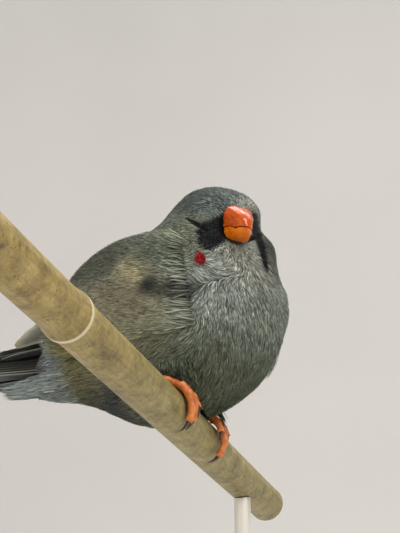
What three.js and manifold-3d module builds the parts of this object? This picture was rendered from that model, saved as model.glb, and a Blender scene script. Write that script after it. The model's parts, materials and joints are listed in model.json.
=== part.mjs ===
// A life-size zebra finch, fluffed up and asleep on a length of bamboo cane over a plain display stand.
// Millimetres, +Z up. The bird looks along -Y, the cane runs along X, and its left side is +X.
// The origin is on the underside of the stand's base, straight below the middle of the two feet.
import * as THREE from 'three';
import { mergeVertices } from 'three/addons/utils/BufferGeometryUtils.js';
import Module from 'manifold-3d';

const wasm = await Module();
wasm.setup();

// Driving dimensions
const GAP = 0.3; // left between neighbouring pieces
const PERCH = { height: 106, radius: 5.2, near: -116, far: 80, ring: -72, ringRadius: 5.9 };
const STAND = { length: 128, width: 92, thickness: 8, corner: 14, rodAt: 53, rodRadius: 2.3 };
const BODY_TURN = { yaw: 10, pitch: 28 }; // breast up and a little to the right
const HEAD_TURN = { yaw: 51, pitch: -20 }; // head turned over the right shoulder, bill down
const TORSO_AT = [0.5, 4, 25]; // places from the cane's axis, midway between the feet
const NECK_AT = [-1.5, -6, 42];
const HEAD_AT = [-1.5, -10.5, 51.3];
// The bill in the head's frame: where it starts and ends ahead, where its middle line lies, its half sizes
const BILL = { from: 5.5, to: 17.6, middle: 0.4, aside: 0.4, halfWidth: 4.1, upper: 5.8, lower: 4.3 };
const BILL_SQUARENESS = 3.4;
const EYE = { radius: 2.9, ahead: 4.7, aside: 4.9, above: -0.4, turn: 42 }; // turned ahead by degrees
const LID = { bulge: 3.7, slitLength: 3.5, slitHeight: 0.4, slope: 26 };
const FOOT = { aside: 13, toeRadius: 1.17, padHalf: [3.1, 2.2, 1.3], tarsusRadius: 1.15 };
// Toes of a foot: angle round the cane where each starts, where it ends and where its claw ends,
// and how far from the middle of the foot it starts and ends, outwards
const TOES = [
  { angles: [-16, -66, -98], aside: [0, 0.6, 1.0] },
  { angles: [14, 96, 124], aside: [-2.75, -2.9, -3] },
  { angles: [14, 132, 160], aside: [0, 0, 0] },
  { angles: [14, 102, 128], aside: [2.75, 2.85, 3] },
];
// Share of those angles that each toe reaches round the cane, by foot
const TOE_REACH = { right: [1, 0.82, 0.88, 1.2], left: [1, 0.86, 1.01, 0.76] };
const TOE_DRIFT = { right: 3.2, left: 0.4 }; // how far the front toes lean towards +X by their claw tips
const MESH = { torso: 8, neck: 6, head: 7 }; // how finely each rounded body is divided

// Feathered outline of the body as smooth lobes: place, and half sizes across, along and up
const BLEND = { body: 9, head: 4, nape: 5 };
const BODY_LOBES = [
  { at: [0.5, 5, 25], half: [17.2, 26, 18.5] },
  { at: [1, -9, 27.7], half: [17, 15.5, 17.2] },
  { at: [2, -1.8, 16.3], half: [17, 19, 12.4] },
  { at: [-4, 14, 33], half: [13, 19, 13] },
  { at: [-0.5, 27.5, 20], half: [10.6, 16.5, 7.2] },
  { at: [12.5, -16, 34], half: [5.5, 9, 8] },
  { at: [-13, -5, 35], half: [5, 9, 8] },
];
const NECK_LOBES = [
  { at: [1, 0, 39], half: [13, 12.5, 12] },
  { at: [-0.2, -2.6, 47.2], half: [9.3, 9.1, 9.1] },
];
const HEAD_LOBES = [
  { at: [0, 1.5, 2.3], half: [9.8, 11.5, 9.4] },
  { at: [-4.3, 2.8, 2.2], half: [7.8, 9.5, 7.9] },
  { at: [3, -4, 4.2], half: [5, 6, 4.3] },
  { at: [-5.5, -1, -4.5], half: [5.5, 7, 6.5] },
  { at: [9.8, -0.8, -6.2], half: [6.2, 6.5, 7.4] },
  { at: [0, -3, -8], half: [7.5, 6.5, 6] },
];
// Bed that carries the folded wings past the rump, as wide as the wing tips lie apart
const WING_BED = [
  { at: [-2.5, 33, 21.4], half: [10, 24, 7.8] },
];
// Middle line of body and tail, one point every 26 mm along Y
const SPINE = [[-1, -26, 30], [0.4, 0, 26], [-1, 26, 20], [-6, 52, 16.6], [-12, 78, 15.4]];
const WING = { wrist: -16, stagger: 6, tip: 43, rise: 0.8, bendRise: 0.3, padEnd: 0.7 };
const VANE = { thickness: 0.55, sunk: 0.5 };
// Tiers of a folded wing, from their first to their last feather: share of the wing's length where root and
// tip lie, half width, degrees round the body from its top at root and tip, and how far the tips stand off
const WING_TIERS = [
  {
    count: 5, root: [0.44, 0.38], tip: [1, 0.8], half: [2, 2.4],
    rootAround: [84, 66], tipAround: [62, 50], lift: [0.6, 1.2],
  },
  {
    count: 5, root: [0.36, 0.32], tip: [0.72, 0.68], half: [2.1, 2.4],
    rootAround: [84, 54], tipAround: [77, 49], lift: [0.9, 1.2],
  },
  {
    count: 3, root: [0.33, 0.28], tip: [0.78, 0.62], half: [2.5, 2.8],
    rootAround: [53, 34], tipAround: [48, 29], lift: [1.4, 1.7],
  },
  {
    count: 7, root: [0.2, 0.18], tip: [0.47, 0.43], half: [2, 2.2],
    rootAround: [92, 46], tipAround: [86, 39], lift: [1.5, 1.9],
  },
  {
    count: 6, root: [0.08, 0.06], tip: [0.29, 0.25], half: [2.2, 2.3],
    rootAround: [97, 54], tipAround: [91, 48], lift: [1.8, 2.1],
  },
];
const TAIL = { root: 33, tip: 74, thickness: 0.75, core: [5.4, 3.2] };
// Tiers of the tail from its middle outwards: places along Y of root and tip, sideways and upward places
// of the middle line at root and tip, and half width
const TAIL_TIERS = [
  {
    count: 6, root: [34, 33], tip: [74, 70], half: [2.9, 2.5],
    aside: [[0.4, 2.6], [0.7, 4.8]], up: [[2.0, -2.4], [1.9, -1.9]],
  },
  {
    count: 3, root: [33, 31], tip: [54, 46], half: [3.2, 3],
    aside: [[0.6, 3.6], [1.2, 5.2]], up: [[4.1, 2.7], [3.2, 1.4]],
  },
  {
    count: 4, root: [32, 30], tip: [59, 48], half: [3.6, 3.3],
    aside: [[1, 4.6], [1.2, 6]], up: [[-3.6, -2], [-3.5, -2]],
  },
];

const FINISH = {
  plumage: { color: '#6f7068', roughness: 0.9, metalness: 0 },
  wingFeather: { color: '#66665c', roughness: 0.85, metalness: 0 },
  tailFeather: { color: '#3a3b3b', roughness: 0.8, metalness: 0 },
  bill: { color: '#d2521a', roughness: 0.3, metalness: 0 },
  eye: { color: '#140c0a', roughness: 0.1, metalness: 0 },
  foot: { color: '#cf6a2c', roughness: 0.6, metalness: 0 },
  claw: { color: '#3c2a20', roughness: 0.5, metalness: 0 },
  cane: { color: '#a88f62', roughness: 0.6, metalness: 0 },
  stand: { color: '#d8d4cc', roughness: 0.5, metalness: 0 },
};

const UP = new THREE.Vector3(0, 0, 1);
const origin = new THREE.Vector3(0, 0, PERCH.height);
const radians = THREE.MathUtils.degToRad;
const mix = THREE.MathUtils.lerp;

// Places are given from the middle of the cane's axis.
function place([x, y, z]) {
  return new THREE.Vector3(x, y, z).add(origin);
}

// The turn of a body part whose front was along -Y: yaw carries it to the right, pitch lifts it.
function turnOf({ yaw, pitch }) {
  return new THREE.Quaternion().setFromEuler(new THREE.Euler(radians(-pitch), 0, radians(-yaw), 'ZXY'));
}

const bodyTurn = turnOf(BODY_TURN);
const headTurn = turnOf(HEAD_TURN);

// A point given across (to the left), back and up in the head's own frame
function inHead([across, back, above]) {
  return new THREE.Vector3(across, back, above).applyQuaternion(headTurn).add(place(HEAD_AT));
}

function lobe({ at, half }, turn, centre = place(at)) {
  return { centre, half: new THREE.Vector3(...half), inverse: turn.clone().invert() };
}

const bodyLobes = BODY_LOBES.map((shape) => lobe(shape, bodyTurn));
const neckLobes = NECK_LOBES.map((shape) => lobe(shape, bodyTurn));
const headLobes = HEAD_LOBES.map((shape) => lobe(shape, headTurn, inHead(shape.at)));
const bedLobes = [...bodyLobes, ...WING_BED.map((shape) => lobe(shape, turnOf({ yaw: 6, pitch: 4 })))];

// Distance of a point from a lobe's surface, negative inside
function fromLobe(point, { centre, half, inverse }) {
  const local = point.clone().sub(centre).applyQuaternion(inverse);
  const once = local.clone().divide(half).length();
  const twice = local.divide(half).divide(half).length();
  return twice > 0 ? (once * (once - 1)) / twice : -Math.min(half.x, half.y, half.z);
}

// Two distances run together smoothly where they are less than the blend apart
function blended(one, other, blend) {
  const share = Math.max(blend - Math.abs(one - other), 0) / blend;
  return Math.min(one, other) - (share * share * blend) / 4;
}

function fromLobes(point, lobes, blend) {
  const distances = lobes.map((shape) => fromLobe(point, shape));
  return distances.reduce((nearest, distance) => blended(nearest, distance, blend));
}

// Distance from the surface of the whole feathered body
function fromFlesh(point) {
  const body = fromLobes(point, [...bodyLobes, ...neckLobes], BLEND.body);
  return blended(body, fromLobes(point, headLobes, BLEND.head), BLEND.nape);
}

// Distance from the bed under the folded wings
function fromBed(point) {
  return fromLobes(point, bedLobes, BLEND.body);
}

// How far from the start, along a direction, the surface lies that stands off the body by the lift
function reach(start, direction, distanceFrom, lift = 0) {
  const step = 0.8;
  const farthest = 90;
  const at = (distance) => distanceFrom(start.clone().addScaledVector(direction, distance)) - lift;
  let outer = step;
  while (at(outer) < 0 && outer < farthest) outer += step;
  let inner = outer - step;
  for (let halving = 0; halving < 12; halving += 1) {
    const middle = (inner + outer) / 2;
    if (at(middle) < 0) inner = middle;
    else outer = middle;
  }
  return (inner + outer) / 2;
}

// A closed geometry as a solid that can be joined and cut, a mirrored one turned right side out
function solidOf(geometry) {
  const bare = geometry.clone();
  for (const name of Object.keys(bare.attributes)) {
    if (name !== 'position') bare.deleteAttribute(name);
  }
  const merged = mergeVertices(bare, 1e-4);
  const vertProperties = new Float32Array(merged.attributes.position.array);
  const triVerts = new Uint32Array(merged.index.array);
  const solid = new wasm.Manifold(new wasm.Mesh({ numProp: 3, vertProperties, triVerts }));
  if (solid.volume() > 0) return solid;
  return new wasm.Manifold(new wasm.Mesh({ numProp: 3, vertProperties, triVerts: triVerts.reverse() }));
}

// The largest closed surface of a solid, as a named mesh
function meshOf(name, solid, finish) {
  const bodies = solid.decompose();
  bodies.sort((a, b) => b.volume() - a.volume());
  const { vertProperties, triVerts } = bodies[0].getMesh();
  const geometry = new THREE.BufferGeometry();
  geometry.setAttribute('position', new THREE.BufferAttribute(vertProperties, 3));
  geometry.setIndex(new THREE.BufferAttribute(triVerts, 1));
  geometry.computeVertexNormals();
  const mesh = new THREE.Mesh(geometry, new THREE.MeshStandardMaterial(finish));
  mesh.name = name;
  return mesh;
}

function joined(solids) {
  return solids.reduce((whole, solid) => whole.add(solid));
}

// Moves every point of a geometry
function warp(geometry, move) {
  const { position } = geometry.attributes;
  const point = new THREE.Vector3();
  for (let index = 0; index < position.count; index += 1) {
    move(point.fromBufferAttribute(position, index));
    position.setXYZ(index, point.x, point.y, point.z);
  }
  return geometry;
}

// A rounded body: a divided ball whose points move out to the feathered surface
function fleshFrom(centre, detail, lift) {
  const middle = place(centre);
  return solidOf(warp(new THREE.IcosahedronGeometry(1, detail), (point) => {
    const direction = point.clone().normalize();
    point.copy(middle).addScaledVector(direction, reach(middle, direction, fromFlesh, lift));
  }));
}

// The half space in front of a plane, as a large block
function halfSpace(through, facing) {
  const size = 400;
  const block = new THREE.BoxGeometry(size, size, size);
  block.translate(0, 0, size / 2);
  block.applyQuaternion(new THREE.Quaternion().setFromUnitVectors(UP, facing.clone().normalize()));
  block.translate(through.x, through.y, through.z);
  return solidOf(block);
}

// A round rod along a curve, its radius a function of the share of the way along
function rodAlong(curve, radiusAt, steps, sides) {
  const profile = [new THREE.Vector2(0, 0)];
  for (let step = 0; step <= steps; step += 1) {
    profile.push(new THREE.Vector2(radiusAt(step / steps), step / steps));
  }
  profile.push(new THREE.Vector2(0, 1));
  const frames = curve.computeFrenetFrames(64);
  return warp(new THREE.LatheGeometry(profile, sides), (point) => {
    const share = THREE.MathUtils.clamp(point.y, 0, 1);
    const frame = Math.round(share * 64);
    const { x, z } = point;
    point.copy(curve.getPointAt(share));
    point.addScaledVector(frames.normals[frame], x).addScaledVector(frames.binormals[frame], -z);
  });
}

// The cuts that part head from neck and neck from torso
const headCut = {
  through: place([-2.5, -6.5, 47.5]),
  facing: new THREE.Vector3(-0.25, -0.35, 1),
};
const neckCut = {
  through: place([-1.5, -6, 40]),
  facing: new THREE.Vector3(-0.08, -0.3, 1),
};

function above({ through, facing }) {
  return halfSpace(through.clone().addScaledVector(facing.clone().normalize(), GAP / 2), facing);
}

function below({ through, facing }) {
  const down = facing.clone().negate();
  return halfSpace(through.clone().addScaledVector(down.clone().normalize(), GAP / 2), down);
}

// A thin closed body between an upper and a lower surface, divided alike on both
function slab(pointAt, columns, rows) {
  const places = [];
  const faces = [];
  const wide = columns + 1;
  const layer = wide * (rows + 1);
  for (const side of [1, 0]) {
    for (let row = 0; row <= rows; row += 1) {
      for (let column = 0; column <= columns; column += 1) {
        places.push(...pointAt((2 * column) / columns - 1, row / rows, side));
      }
    }
  }
  for (let row = 0; row < rows; row += 1) {
    for (let column = 0; column < columns; column += 1) {
      const a = row * wide + column;
      const [b, c, d] = [a + 1, a + wide, a + wide + 1];
      faces.push(a, b, d, a, d, c);
      faces.push(a + layer, d + layer, b + layer, a + layer, c + layer, d + layer);
    }
  }
  const rim = [];
  for (let column = 0; column < columns; column += 1) rim.push(column);
  for (let row = 0; row < rows; row += 1) rim.push(row * wide + columns);
  for (let column = columns; column > 0; column -= 1) rim.push(rows * wide + column);
  for (let row = rows; row > 0; row -= 1) rim.push(row * wide);
  rim.forEach((here, index) => {
    const next = rim[(index + 1) % rim.length];
    faces.push(here, here + layer, next + layer, here, next + layer, next);
  });
  const geometry = new THREE.BufferGeometry();
  geometry.setAttribute('position', new THREE.Float32BufferAttribute(places, 3));
  geometry.setIndex(faces);
  return geometry;
}

// Where a place along Y lies on the middle line of body and tail, and which way is left and up there
const spine = new THREE.CatmullRomCurve3(SPINE.map(place), false, 'catmullrom', 0.5);
const spineStart = SPINE[0][1];
const spineLength = SPINE[SPINE.length - 1][1] - spineStart;

function spineAt(along) {
  const share = (along - spineStart) / spineLength;
  const back = spine.getTangent(share);
  const left = back.clone().cross(UP).normalize();
  return { middle: spine.getPoint(share), left, up: left.clone().cross(back) };
}

// A point over the wings' bed: along Y, round the body in degrees from its top, and lifted off it
function onBed(side, along, around, lift) {
  const { middle, left, up } = spineAt(along);
  const angle = radians(around) * side;
  const direction = up.multiplyScalar(Math.cos(angle)).addScaledVector(left, Math.sin(angle));
  return middle.addScaledVector(direction, reach(middle, direction, fromBed, lift));
}

// The room that the cane takes under the bird, with the gap left round it
function caneRoom() {
  const bar = new THREE.CylinderGeometry(PERCH.radius + GAP, PERCH.radius + GAP, 80, 24);
  bar.rotateZ(Math.PI / 2);
  bar.translate(0, 0, PERCH.height);
  return solidOf(bar);
}

// Lowest edge of a folded wing, in degrees from the body's top, along its length
function lowerEdge(side, share) {
  const wrist = side > 0 ? 104 : 94;
  return share < 0.75
    ? mix(wrist, 80, share / 0.75)
    : mix(80, 62, (share - 0.75) / 0.25);
}

function alongWing(side, share) {
  return mix(WING.wrist - side * WING.stagger, WING.tip, share);
}

// The pad that the wing's feathers grow from, rounded at the bend and thinning out to its edges
function wingPad(side) {
  return solidOf(slab((across, share, face) => {
    const part = share * WING.padEnd;
    const rounding = Math.sqrt(1 - (1 - Math.min(share / 0.3, 1)) ** 2);
    const lower = lowerEdge(side, part) - 2;
    const upper = 64 - 34 * Math.sin(Math.PI * Math.min(part * 1.2 + 0.04, 1) ** 0.8) ** 0.7;
    const around = (lower + upper) / 2 + (across * (upper - lower) * (0.35 + 0.65 * rounding)) / 2;
    const bend = WING.bendRise * (1 - THREE.MathUtils.smoothstep(part, 0.1, 0.3));
    const rise = (WING.rise + bend) * (1.25 - across ** 4) * Math.min(1, 5 * share);
    return onBed(side, alongWing(side, part), around, face ? rise : -2.2).toArray();
  }, 6, 9));
}

// Half width of a feather along its length, as a share of its widest, with a rounded tip
function vaneOutline(share) {
  const tipFrom = 0.6;
  if (share < tipFrom) return 0.6 + 0.4 * Math.sin((Math.PI / 2) * (share / tipFrom));
  return Math.max(0.3, Math.sqrt(1 - ((share - tipFrom) / (1 - tipFrom)) ** 2));
}

const VANE_ROWS = [0, 0.5, 0.86, 1]; // where a feather's width is set, from its root to its tip

// One feather: a thin vane with a raised midrib, its outer edge a little lower than its inner one
function vane(pointAt, half, thickness, columns) {
  return slab((across, row, face) => {
    const rounding = row === 1 ? 0.04 * Math.abs(across) : 0;
    const share = VANE_ROWS[Math.round(row * (VANE_ROWS.length - 1))] - rounding;
    const lift = 0.2 * (1 - Math.abs(across)) + 0.28 * across;
    const thin = share > 0.9 ? 0.75 : 1;
    const height = lift - (face ? 0 : thickness * thin);
    return pointAt(share, across * half * vaneOutline(share), height).toArray();
  }, columns, VANE_ROWS.length - 1);
}

const random = (() => {
  let seed = 20311;
  return (spread) => {
    seed = (seed * 16807) % 2147483647;
    return (seed / 2147483647 - 0.5) * 2 * spread;
  };
})();

function wingVane(side, tier, share) {
  const root = mix(...tier.root, share) + random(0.005);
  const tip = mix(...tier.tip, share) + random(0.01);
  const rootAround = mix(...tier.rootAround, share);
  const tipAround = mix(...tier.tipAround, share) + random(0.8);
  const off = mix(...tier.lift, share);
  const shift = side > 0 ? 8 * (1 - share) : 0;
  return solidOf(vane((along, sideways, lift) => {
    const place = mix(root, tip, along);
    const around = mix(rootAround + shift * (1 - root), tipAround + shift * (1 - tip), along);
    const centre = onBed(side, alongWing(side, place), around, 0);
    const radius = centre.distanceTo(spineAt(alongWing(side, place)).middle);
    const turned = around - THREE.MathUtils.radToDeg(sideways / radius);
    const height = mix(-VANE.sunk, off, Math.min(1, along * 1.5)) + lift;
    return onBed(side, alongWing(side, place), turned, height);
  }, mix(...tier.half, share), VANE.thickness, 2));
}

function wingSolid(side) {
  const vanes = WING_TIERS.flatMap((tier) => {
    const shares = Array.from({ length: tier.count }, (_, index) => index / (tier.count - 1));
    return shares.map((share) => wingVane(side, tier, share));
  });
  return joined([wingPad(side), ...vanes]);
}

// A point by the tail's middle line: along Y, sideways and up
function byTail(along, sideways, height) {
  const { middle, left, up } = spineAt(along);
  return middle.addScaledVector(left, sideways).addScaledVector(up, height);
}

// The stump that the tail's feathers grow from
function tailCore() {
  const [halfWidth, halfHeight] = TAIL.core;
  const stump = new THREE.SphereGeometry(1, 10, 8);
  warp(stump, (point) => {
    point.copy(byTail(TAIL.root + 4 + point.y * 15, point.x * halfWidth, point.z * halfHeight - 0.4));
  });
  return solidOf(stump);
}

function tailVane(side, tier, share) {
  const [rootAside, tipAside] = tier.aside.map((pair) => mix(...pair, share) * side);
  const [root, tip] = [mix(...tier.root, share), mix(...tier.tip, share) + random(0.4)];
  const [rootUp, tipUp] = tier.up.map((pair) => mix(...pair, share) + (side > 0 ? 0.3 : 0));
  return solidOf(vane((along, sideways, lift) => {
    const aside = mix(rootAside, tipAside, along) - sideways * side;
    return byTail(mix(root, tip, along), aside, mix(rootUp, tipUp, along) + lift);
  }, mix(...tier.half, share), TAIL.thickness, 2));
}

function tailSolid() {
  const vanes = TAIL_TIERS.flatMap((tier) => {
    return Array.from({ length: tier.count * 2 }, (_, index) => {
      return tailVane(index % 2 ? 1 : -1, tier, Math.floor(index / 2) / (tier.count - 1));
    });
  });
  return joined([tailCore(), ...vanes]);
}

// Cane and stand
function caneRod() {
  const { near, far, radius, ring, ringRadius } = PERCH;
  const profile = [new THREE.Vector2(0, near), new THREE.Vector2(radius - 0.5, near)];
  profile.push(new THREE.Vector2(radius, near + 0.5), new THREE.Vector2(radius, ring - 3));
  profile.push(new THREE.Vector2(ringRadius - 0.35, ring - 0.7), new THREE.Vector2(ringRadius, ring));
  profile.push(new THREE.Vector2(ringRadius - 0.5, ring + 0.8), new THREE.Vector2(radius, ring + 2.4));
  profile.push(new THREE.Vector2(radius, far - 0.5), new THREE.Vector2(radius - 0.5, far));
  profile.push(new THREE.Vector2(0, far));
  const cane = new THREE.LatheGeometry(profile, 24);
  cane.rotateZ(-Math.PI / 2);
  cane.translate(0, 0, PERCH.height);
  return solidOf(cane);
}

function standBase() {
  const { length, width, thickness, corner } = STAND;
  const outline = new THREE.Shape();
  const [x, y] = [length / 2 - corner, width / 2 - corner];
  outline.absarc(x, y, corner, 0, Math.PI / 2);
  outline.absarc(-x, y, corner, Math.PI / 2, Math.PI);
  outline.absarc(-x, -y, corner, Math.PI, Math.PI * 1.5);
  outline.absarc(x, -y, corner, Math.PI * 1.5, Math.PI * 2);
  const bevel = { bevelEnabled: true, bevelThickness: 0.8, bevelSize: 0.8, bevelOffset: -0.8 };
  const options = { depth: thickness - 1.6, bevelSegments: 1, curveSegments: 5, ...bevel };
  const plate = new THREE.ExtrudeGeometry(outline, options);
  plate.translate(0, 0, 0.8);
  return solidOf(plate);
}

function standRod() {
  const { rodAt, rodRadius, thickness } = STAND;
  const start = thickness + GAP;
  const length = PERCH.height - start;
  const rod = new THREE.CylinderGeometry(rodRadius, rodRadius, length, 20);
  rod.rotateX(Math.PI / 2);
  rod.translate(rodAt, 0, start + length / 2);
  const hollow = new THREE.CylinderGeometry(PERCH.radius + GAP, PERCH.radius + GAP, 40, 24);
  hollow.rotateZ(Math.PI / 2);
  hollow.translate(rodAt, 0, PERCH.height);
  return solidOf(rod).subtract(solidOf(hollow));
}

// Feet: a point beside the cane, at an angle from its top towards the front
function byCane(angle, across, distance) {
  const turn = radians(angle);
  return place([across, -distance * Math.sin(turn), distance * Math.cos(turn)]);
}

function toeCurve(side, toe, fromEnd, toEnd) {
  const { angles, aside } = toe;
  const points = [];
  const steps = 8;
  const sideName = side > 0 ? 'left' : 'right';
  const wrap = TOE_REACH[sideName][TOES.indexOf(toe)];
  const drift = angles[0] > 0 ? TOE_DRIFT[sideName] : 0;
  for (let step = 0; step <= steps; step += 1) {
    const share = step / steps;
    const angle = mix(angles[fromEnd], angles[toEnd], share) * wrap;
    const across = side * (FOOT.aside + mix(aside[fromEnd], aside[toEnd], share));
    const lean = drift * Math.abs(angle / angles[2]) ** 1.5;
    const clawSink = fromEnd === 1 ? 0.5 * share ** 2 : 0;
    points.push(byCane(angle, across + lean, PERCH.radius + GAP + FOOT.toeRadius - clawSink));
  }
  return new THREE.CatmullRomCurve3(points);
}

function toeSolid(side, toe, extra) {
  const joints = 3;
  const radiusAt = (share) => {
    const bulge = 0.1 * Math.cos(2 * Math.PI * joints * share);
    return FOOT.toeRadius * (1 - 0.22 * share + bulge) + extra - 0.05;
  };
  return solidOf(rodAlong(toeCurve(side, toe, 0, 1), radiusAt, 9, 8));
}

function clawSolid(side, toe) {
  const radiusAt = (share) => Math.max(0.78 * (1 - share) ** 0.75, 0.1);
  const claw = solidOf(rodAlong(toeCurve(side, toe, 1, 2), radiusAt, 5, 6));
  return claw.subtract(toeSolid(side, toe, GAP));
}

function padSolid(side, extra) {
  const pad = new THREE.IcosahedronGeometry(1, 2);
  pad.scale(...FOOT.padHalf.map((half) => half + extra));
  pad.translate(...place([side * FOOT.aside, 0, PERCH.radius + GAP + FOOT.padHalf[2]]).toArray());
  return solidOf(pad);
}

function tarsusSolid(side, extra) {
  const lowest = place([side * FOOT.aside, 0.6, PERCH.radius + 2]);
  const highest = place([side * FOOT.aside * 0.8, 7, PERCH.radius + 13]);
  const radiusAt = () => FOOT.tarsusRadius + extra;
  return solidOf(rodAlong(new THREE.LineCurve3(lowest, highest), radiusAt, 2, 10));
}

// Bill: a short, deep cone in the head's frame, parted along the line of the mouth
function billCone(narrower) {
  const { from, to, halfWidth, upper, lower, middle, aside } = BILL;
  const profile = [new THREE.Vector2(0, 0)];
  const steps = 9;
  for (let step = 0; step <= steps; step += 1) {
    const share = step / steps;
    profile.push(new THREE.Vector2((1 - share ** 2.3) ** 0.66, share));
  }
  const cone = warp(new THREE.LatheGeometry(profile, 18), (point) => {
    const { x, y: share, z } = point;
    const height = z > 0 ? upper : lower;
    const bend = -0.9 * share ** 2;
    const powers = Math.abs(x) ** BILL_SQUARENESS + Math.abs(z) ** BILL_SQUARENESS;
    const square = powers > 0 ? Math.hypot(x, z) / powers ** (1 / BILL_SQUARENESS) : 1;
    const across = x * square * halfWidth * narrower + aside;
    point.copy(inHead([across, -(from + (to - from) * share), z * square * height + middle + bend]));
  });
  return solidOf(cone);
}

// Everything under the line of the mouth, that line raised by an offset
function underMouth(offset) {
  const { from, to, middle } = BILL;
  const line = new THREE.Shape();
  line.moveTo(from - 4, middle - 2.6 + offset);
  line.quadraticCurveTo(from + 3.4, middle - 0.4 + offset, to + 3, middle - 1.1 + offset);
  line.lineTo(to + 3, middle - 12);
  line.lineTo(from - 4, middle - 12);
  const block = new THREE.ExtrudeGeometry(line, { depth: 20, bevelEnabled: false, curveSegments: 10 });
  warp(block, (point) => point.copy(inHead([point.z - 10, -point.x, point.y])));
  return solidOf(block);
}

function nostril(side) {
  const pit = new THREE.SphereGeometry(0.5, 7, 5);
  pit.translate(...inHead([BILL.aside + side * 2, -(BILL.from + 4.6), BILL.middle + 4.2]).toArray());
  return solidOf(pit);
}

function eyeBall(side, radius) {
  const ball = new THREE.IcosahedronGeometry(radius, 2);
  ball.translate(...inHead([side * EYE.aside, -EYE.ahead, EYE.above]).toArray());
  return solidOf(ball);
}

// The slit between the closed lids, sloping down towards the bill
function lidSlit(side) {
  const slit = new THREE.SphereGeometry(1, 12, 8);
  slit.scale(4, LID.slitLength, LID.slitHeight);
  slit.rotateX(radians(LID.slope));
  slit.translate(3.4, 0, 0);
  slit.rotateZ(radians(-EYE.turn));
  warp(slit, (point) => {
    point.copy(inHead([side * (EYE.aside + point.x), point.y - EYE.ahead, point.z + EYE.above]));
  });
  return solidOf(slit);
}

const SIDES = [['right', -1], ['left', 1]];
const bird = new THREE.Group();

const flesh = fleshFrom(TORSO_AT, MESH.torso, 0);
const fleshNear = fleshFrom(TORSO_AT, MESH.torso, GAP);
let torso = flesh.intersect(below(neckCut)).subtract(caneRoom());
let head = fleshFrom(HEAD_AT, MESH.head, 0).intersect(above(headCut));
const headNear = fleshFrom(HEAD_AT, MESH.head, GAP);
const tail = tailSolid().subtract(fleshNear);

for (const [sideName, side] of SIDES) {
  torso = torso.subtract(padSolid(side, GAP));
  const leg = tarsusSolid(side, 0).subtract(fleshNear).add(padSolid(side, 0));
  bird.add(meshOf(`leg_${sideName}`, leg, FINISH.foot));
  TOES.forEach((toe, index) => {
    const name = `${sideName}_${index + 1}`;
    torso = torso.subtract(toeSolid(side, toe, GAP));
    bird.add(meshOf(`toe_${name}`, toeSolid(side, toe, 0).subtract(padSolid(side, GAP)), FINISH.foot));
    bird.add(meshOf(`claw_${name}`, clawSolid(side, toe), FINISH.claw));
  });
  bird.add(meshOf(`wing_${sideName}`, wingSolid(side).subtract(fleshNear), FINISH.wingFeather));
  head = head.add(eyeBall(side, LID.bulge)).subtract(eyeBall(side, EYE.radius + GAP));
  head = head.subtract(lidSlit(side));
  bird.add(meshOf(`eye_${sideName}`, eyeBall(side, EYE.radius), FINISH.eye));
}
const neck = fleshFrom(NECK_AT, MESH.neck, 0).intersect(above(neckCut)).intersect(below(headCut));
const upperBill = billCone(1).subtract(underMouth(GAP / 2)).subtract(headNear);
const lowerBill = billCone(0.94).intersect(underMouth(-GAP / 2)).subtract(headNear);
bird.add(meshOf('torso', torso, FINISH.plumage));
bird.add(meshOf('neck', neck, FINISH.plumage));
bird.add(meshOf('head', head, FINISH.plumage));
bird.add(meshOf('bill_upper', upperBill.subtract(nostril(1)).subtract(nostril(-1)), FINISH.bill));
bird.add(meshOf('bill_lower', lowerBill, FINISH.bill));
bird.add(meshOf('tail', tail, FINISH.tailFeather));
bird.add(meshOf('perch', caneRod(), FINISH.cane));
bird.add(meshOf('stand_rod', standRod(), FINISH.stand));
bird.add(meshOf('stand_base', standBase(), FINISH.stand));

export default bird;
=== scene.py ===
import json
import math
import bpy
import numpy as np
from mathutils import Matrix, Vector
from mathutils.bvhtree import BVHTree

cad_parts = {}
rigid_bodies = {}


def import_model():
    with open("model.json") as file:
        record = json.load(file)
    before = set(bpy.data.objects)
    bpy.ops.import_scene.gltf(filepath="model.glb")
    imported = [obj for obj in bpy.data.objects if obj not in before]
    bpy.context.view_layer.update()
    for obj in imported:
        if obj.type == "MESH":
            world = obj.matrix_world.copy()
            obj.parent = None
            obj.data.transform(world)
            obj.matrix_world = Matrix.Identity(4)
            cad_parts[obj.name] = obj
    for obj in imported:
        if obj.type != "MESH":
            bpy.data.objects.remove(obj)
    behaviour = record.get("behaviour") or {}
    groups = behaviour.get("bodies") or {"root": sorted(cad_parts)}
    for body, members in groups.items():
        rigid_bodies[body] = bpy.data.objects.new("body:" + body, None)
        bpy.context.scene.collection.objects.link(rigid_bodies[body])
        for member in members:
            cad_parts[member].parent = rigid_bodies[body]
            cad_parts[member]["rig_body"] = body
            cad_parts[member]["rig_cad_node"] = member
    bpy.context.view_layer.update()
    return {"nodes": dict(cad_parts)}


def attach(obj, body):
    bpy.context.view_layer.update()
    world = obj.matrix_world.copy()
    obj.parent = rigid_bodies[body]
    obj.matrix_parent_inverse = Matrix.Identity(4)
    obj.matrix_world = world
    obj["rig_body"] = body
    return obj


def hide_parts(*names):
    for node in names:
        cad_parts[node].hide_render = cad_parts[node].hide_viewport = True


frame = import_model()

# A sleeping zebra finch on a cut length of cane. Shapes are worked out in millimetres from the middle of the
# cane's axis, between the feet, and turned to metres in the part's frame when a mesh is made.
print("frame loaded")
draws = np.random.default_rng(20311)
caneHeight = 106.0
share = 1.0
sides = ((-1, "right"), (1, "left"))
fineVoxel = 0.00016  # remesh size of bill and feet in metres


# small helpers
def toFrame(points):
    return (np.asarray(points, float) + [0, 0, caneHeight]) / 1000


def fromFrame(points):
    return np.asarray(points, float) * 1000 - [0, 0, caneHeight]


def unit(vectors):
    return vectors / np.maximum(np.linalg.norm(vectors, axis=-1, keepdims=True), 1e-9)


def smooth(low, high, values):
    x = np.clip((np.asarray(values, float) - low) / (high - low), 0, 1)
    return x * x * (3 - 2 * x)


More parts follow.
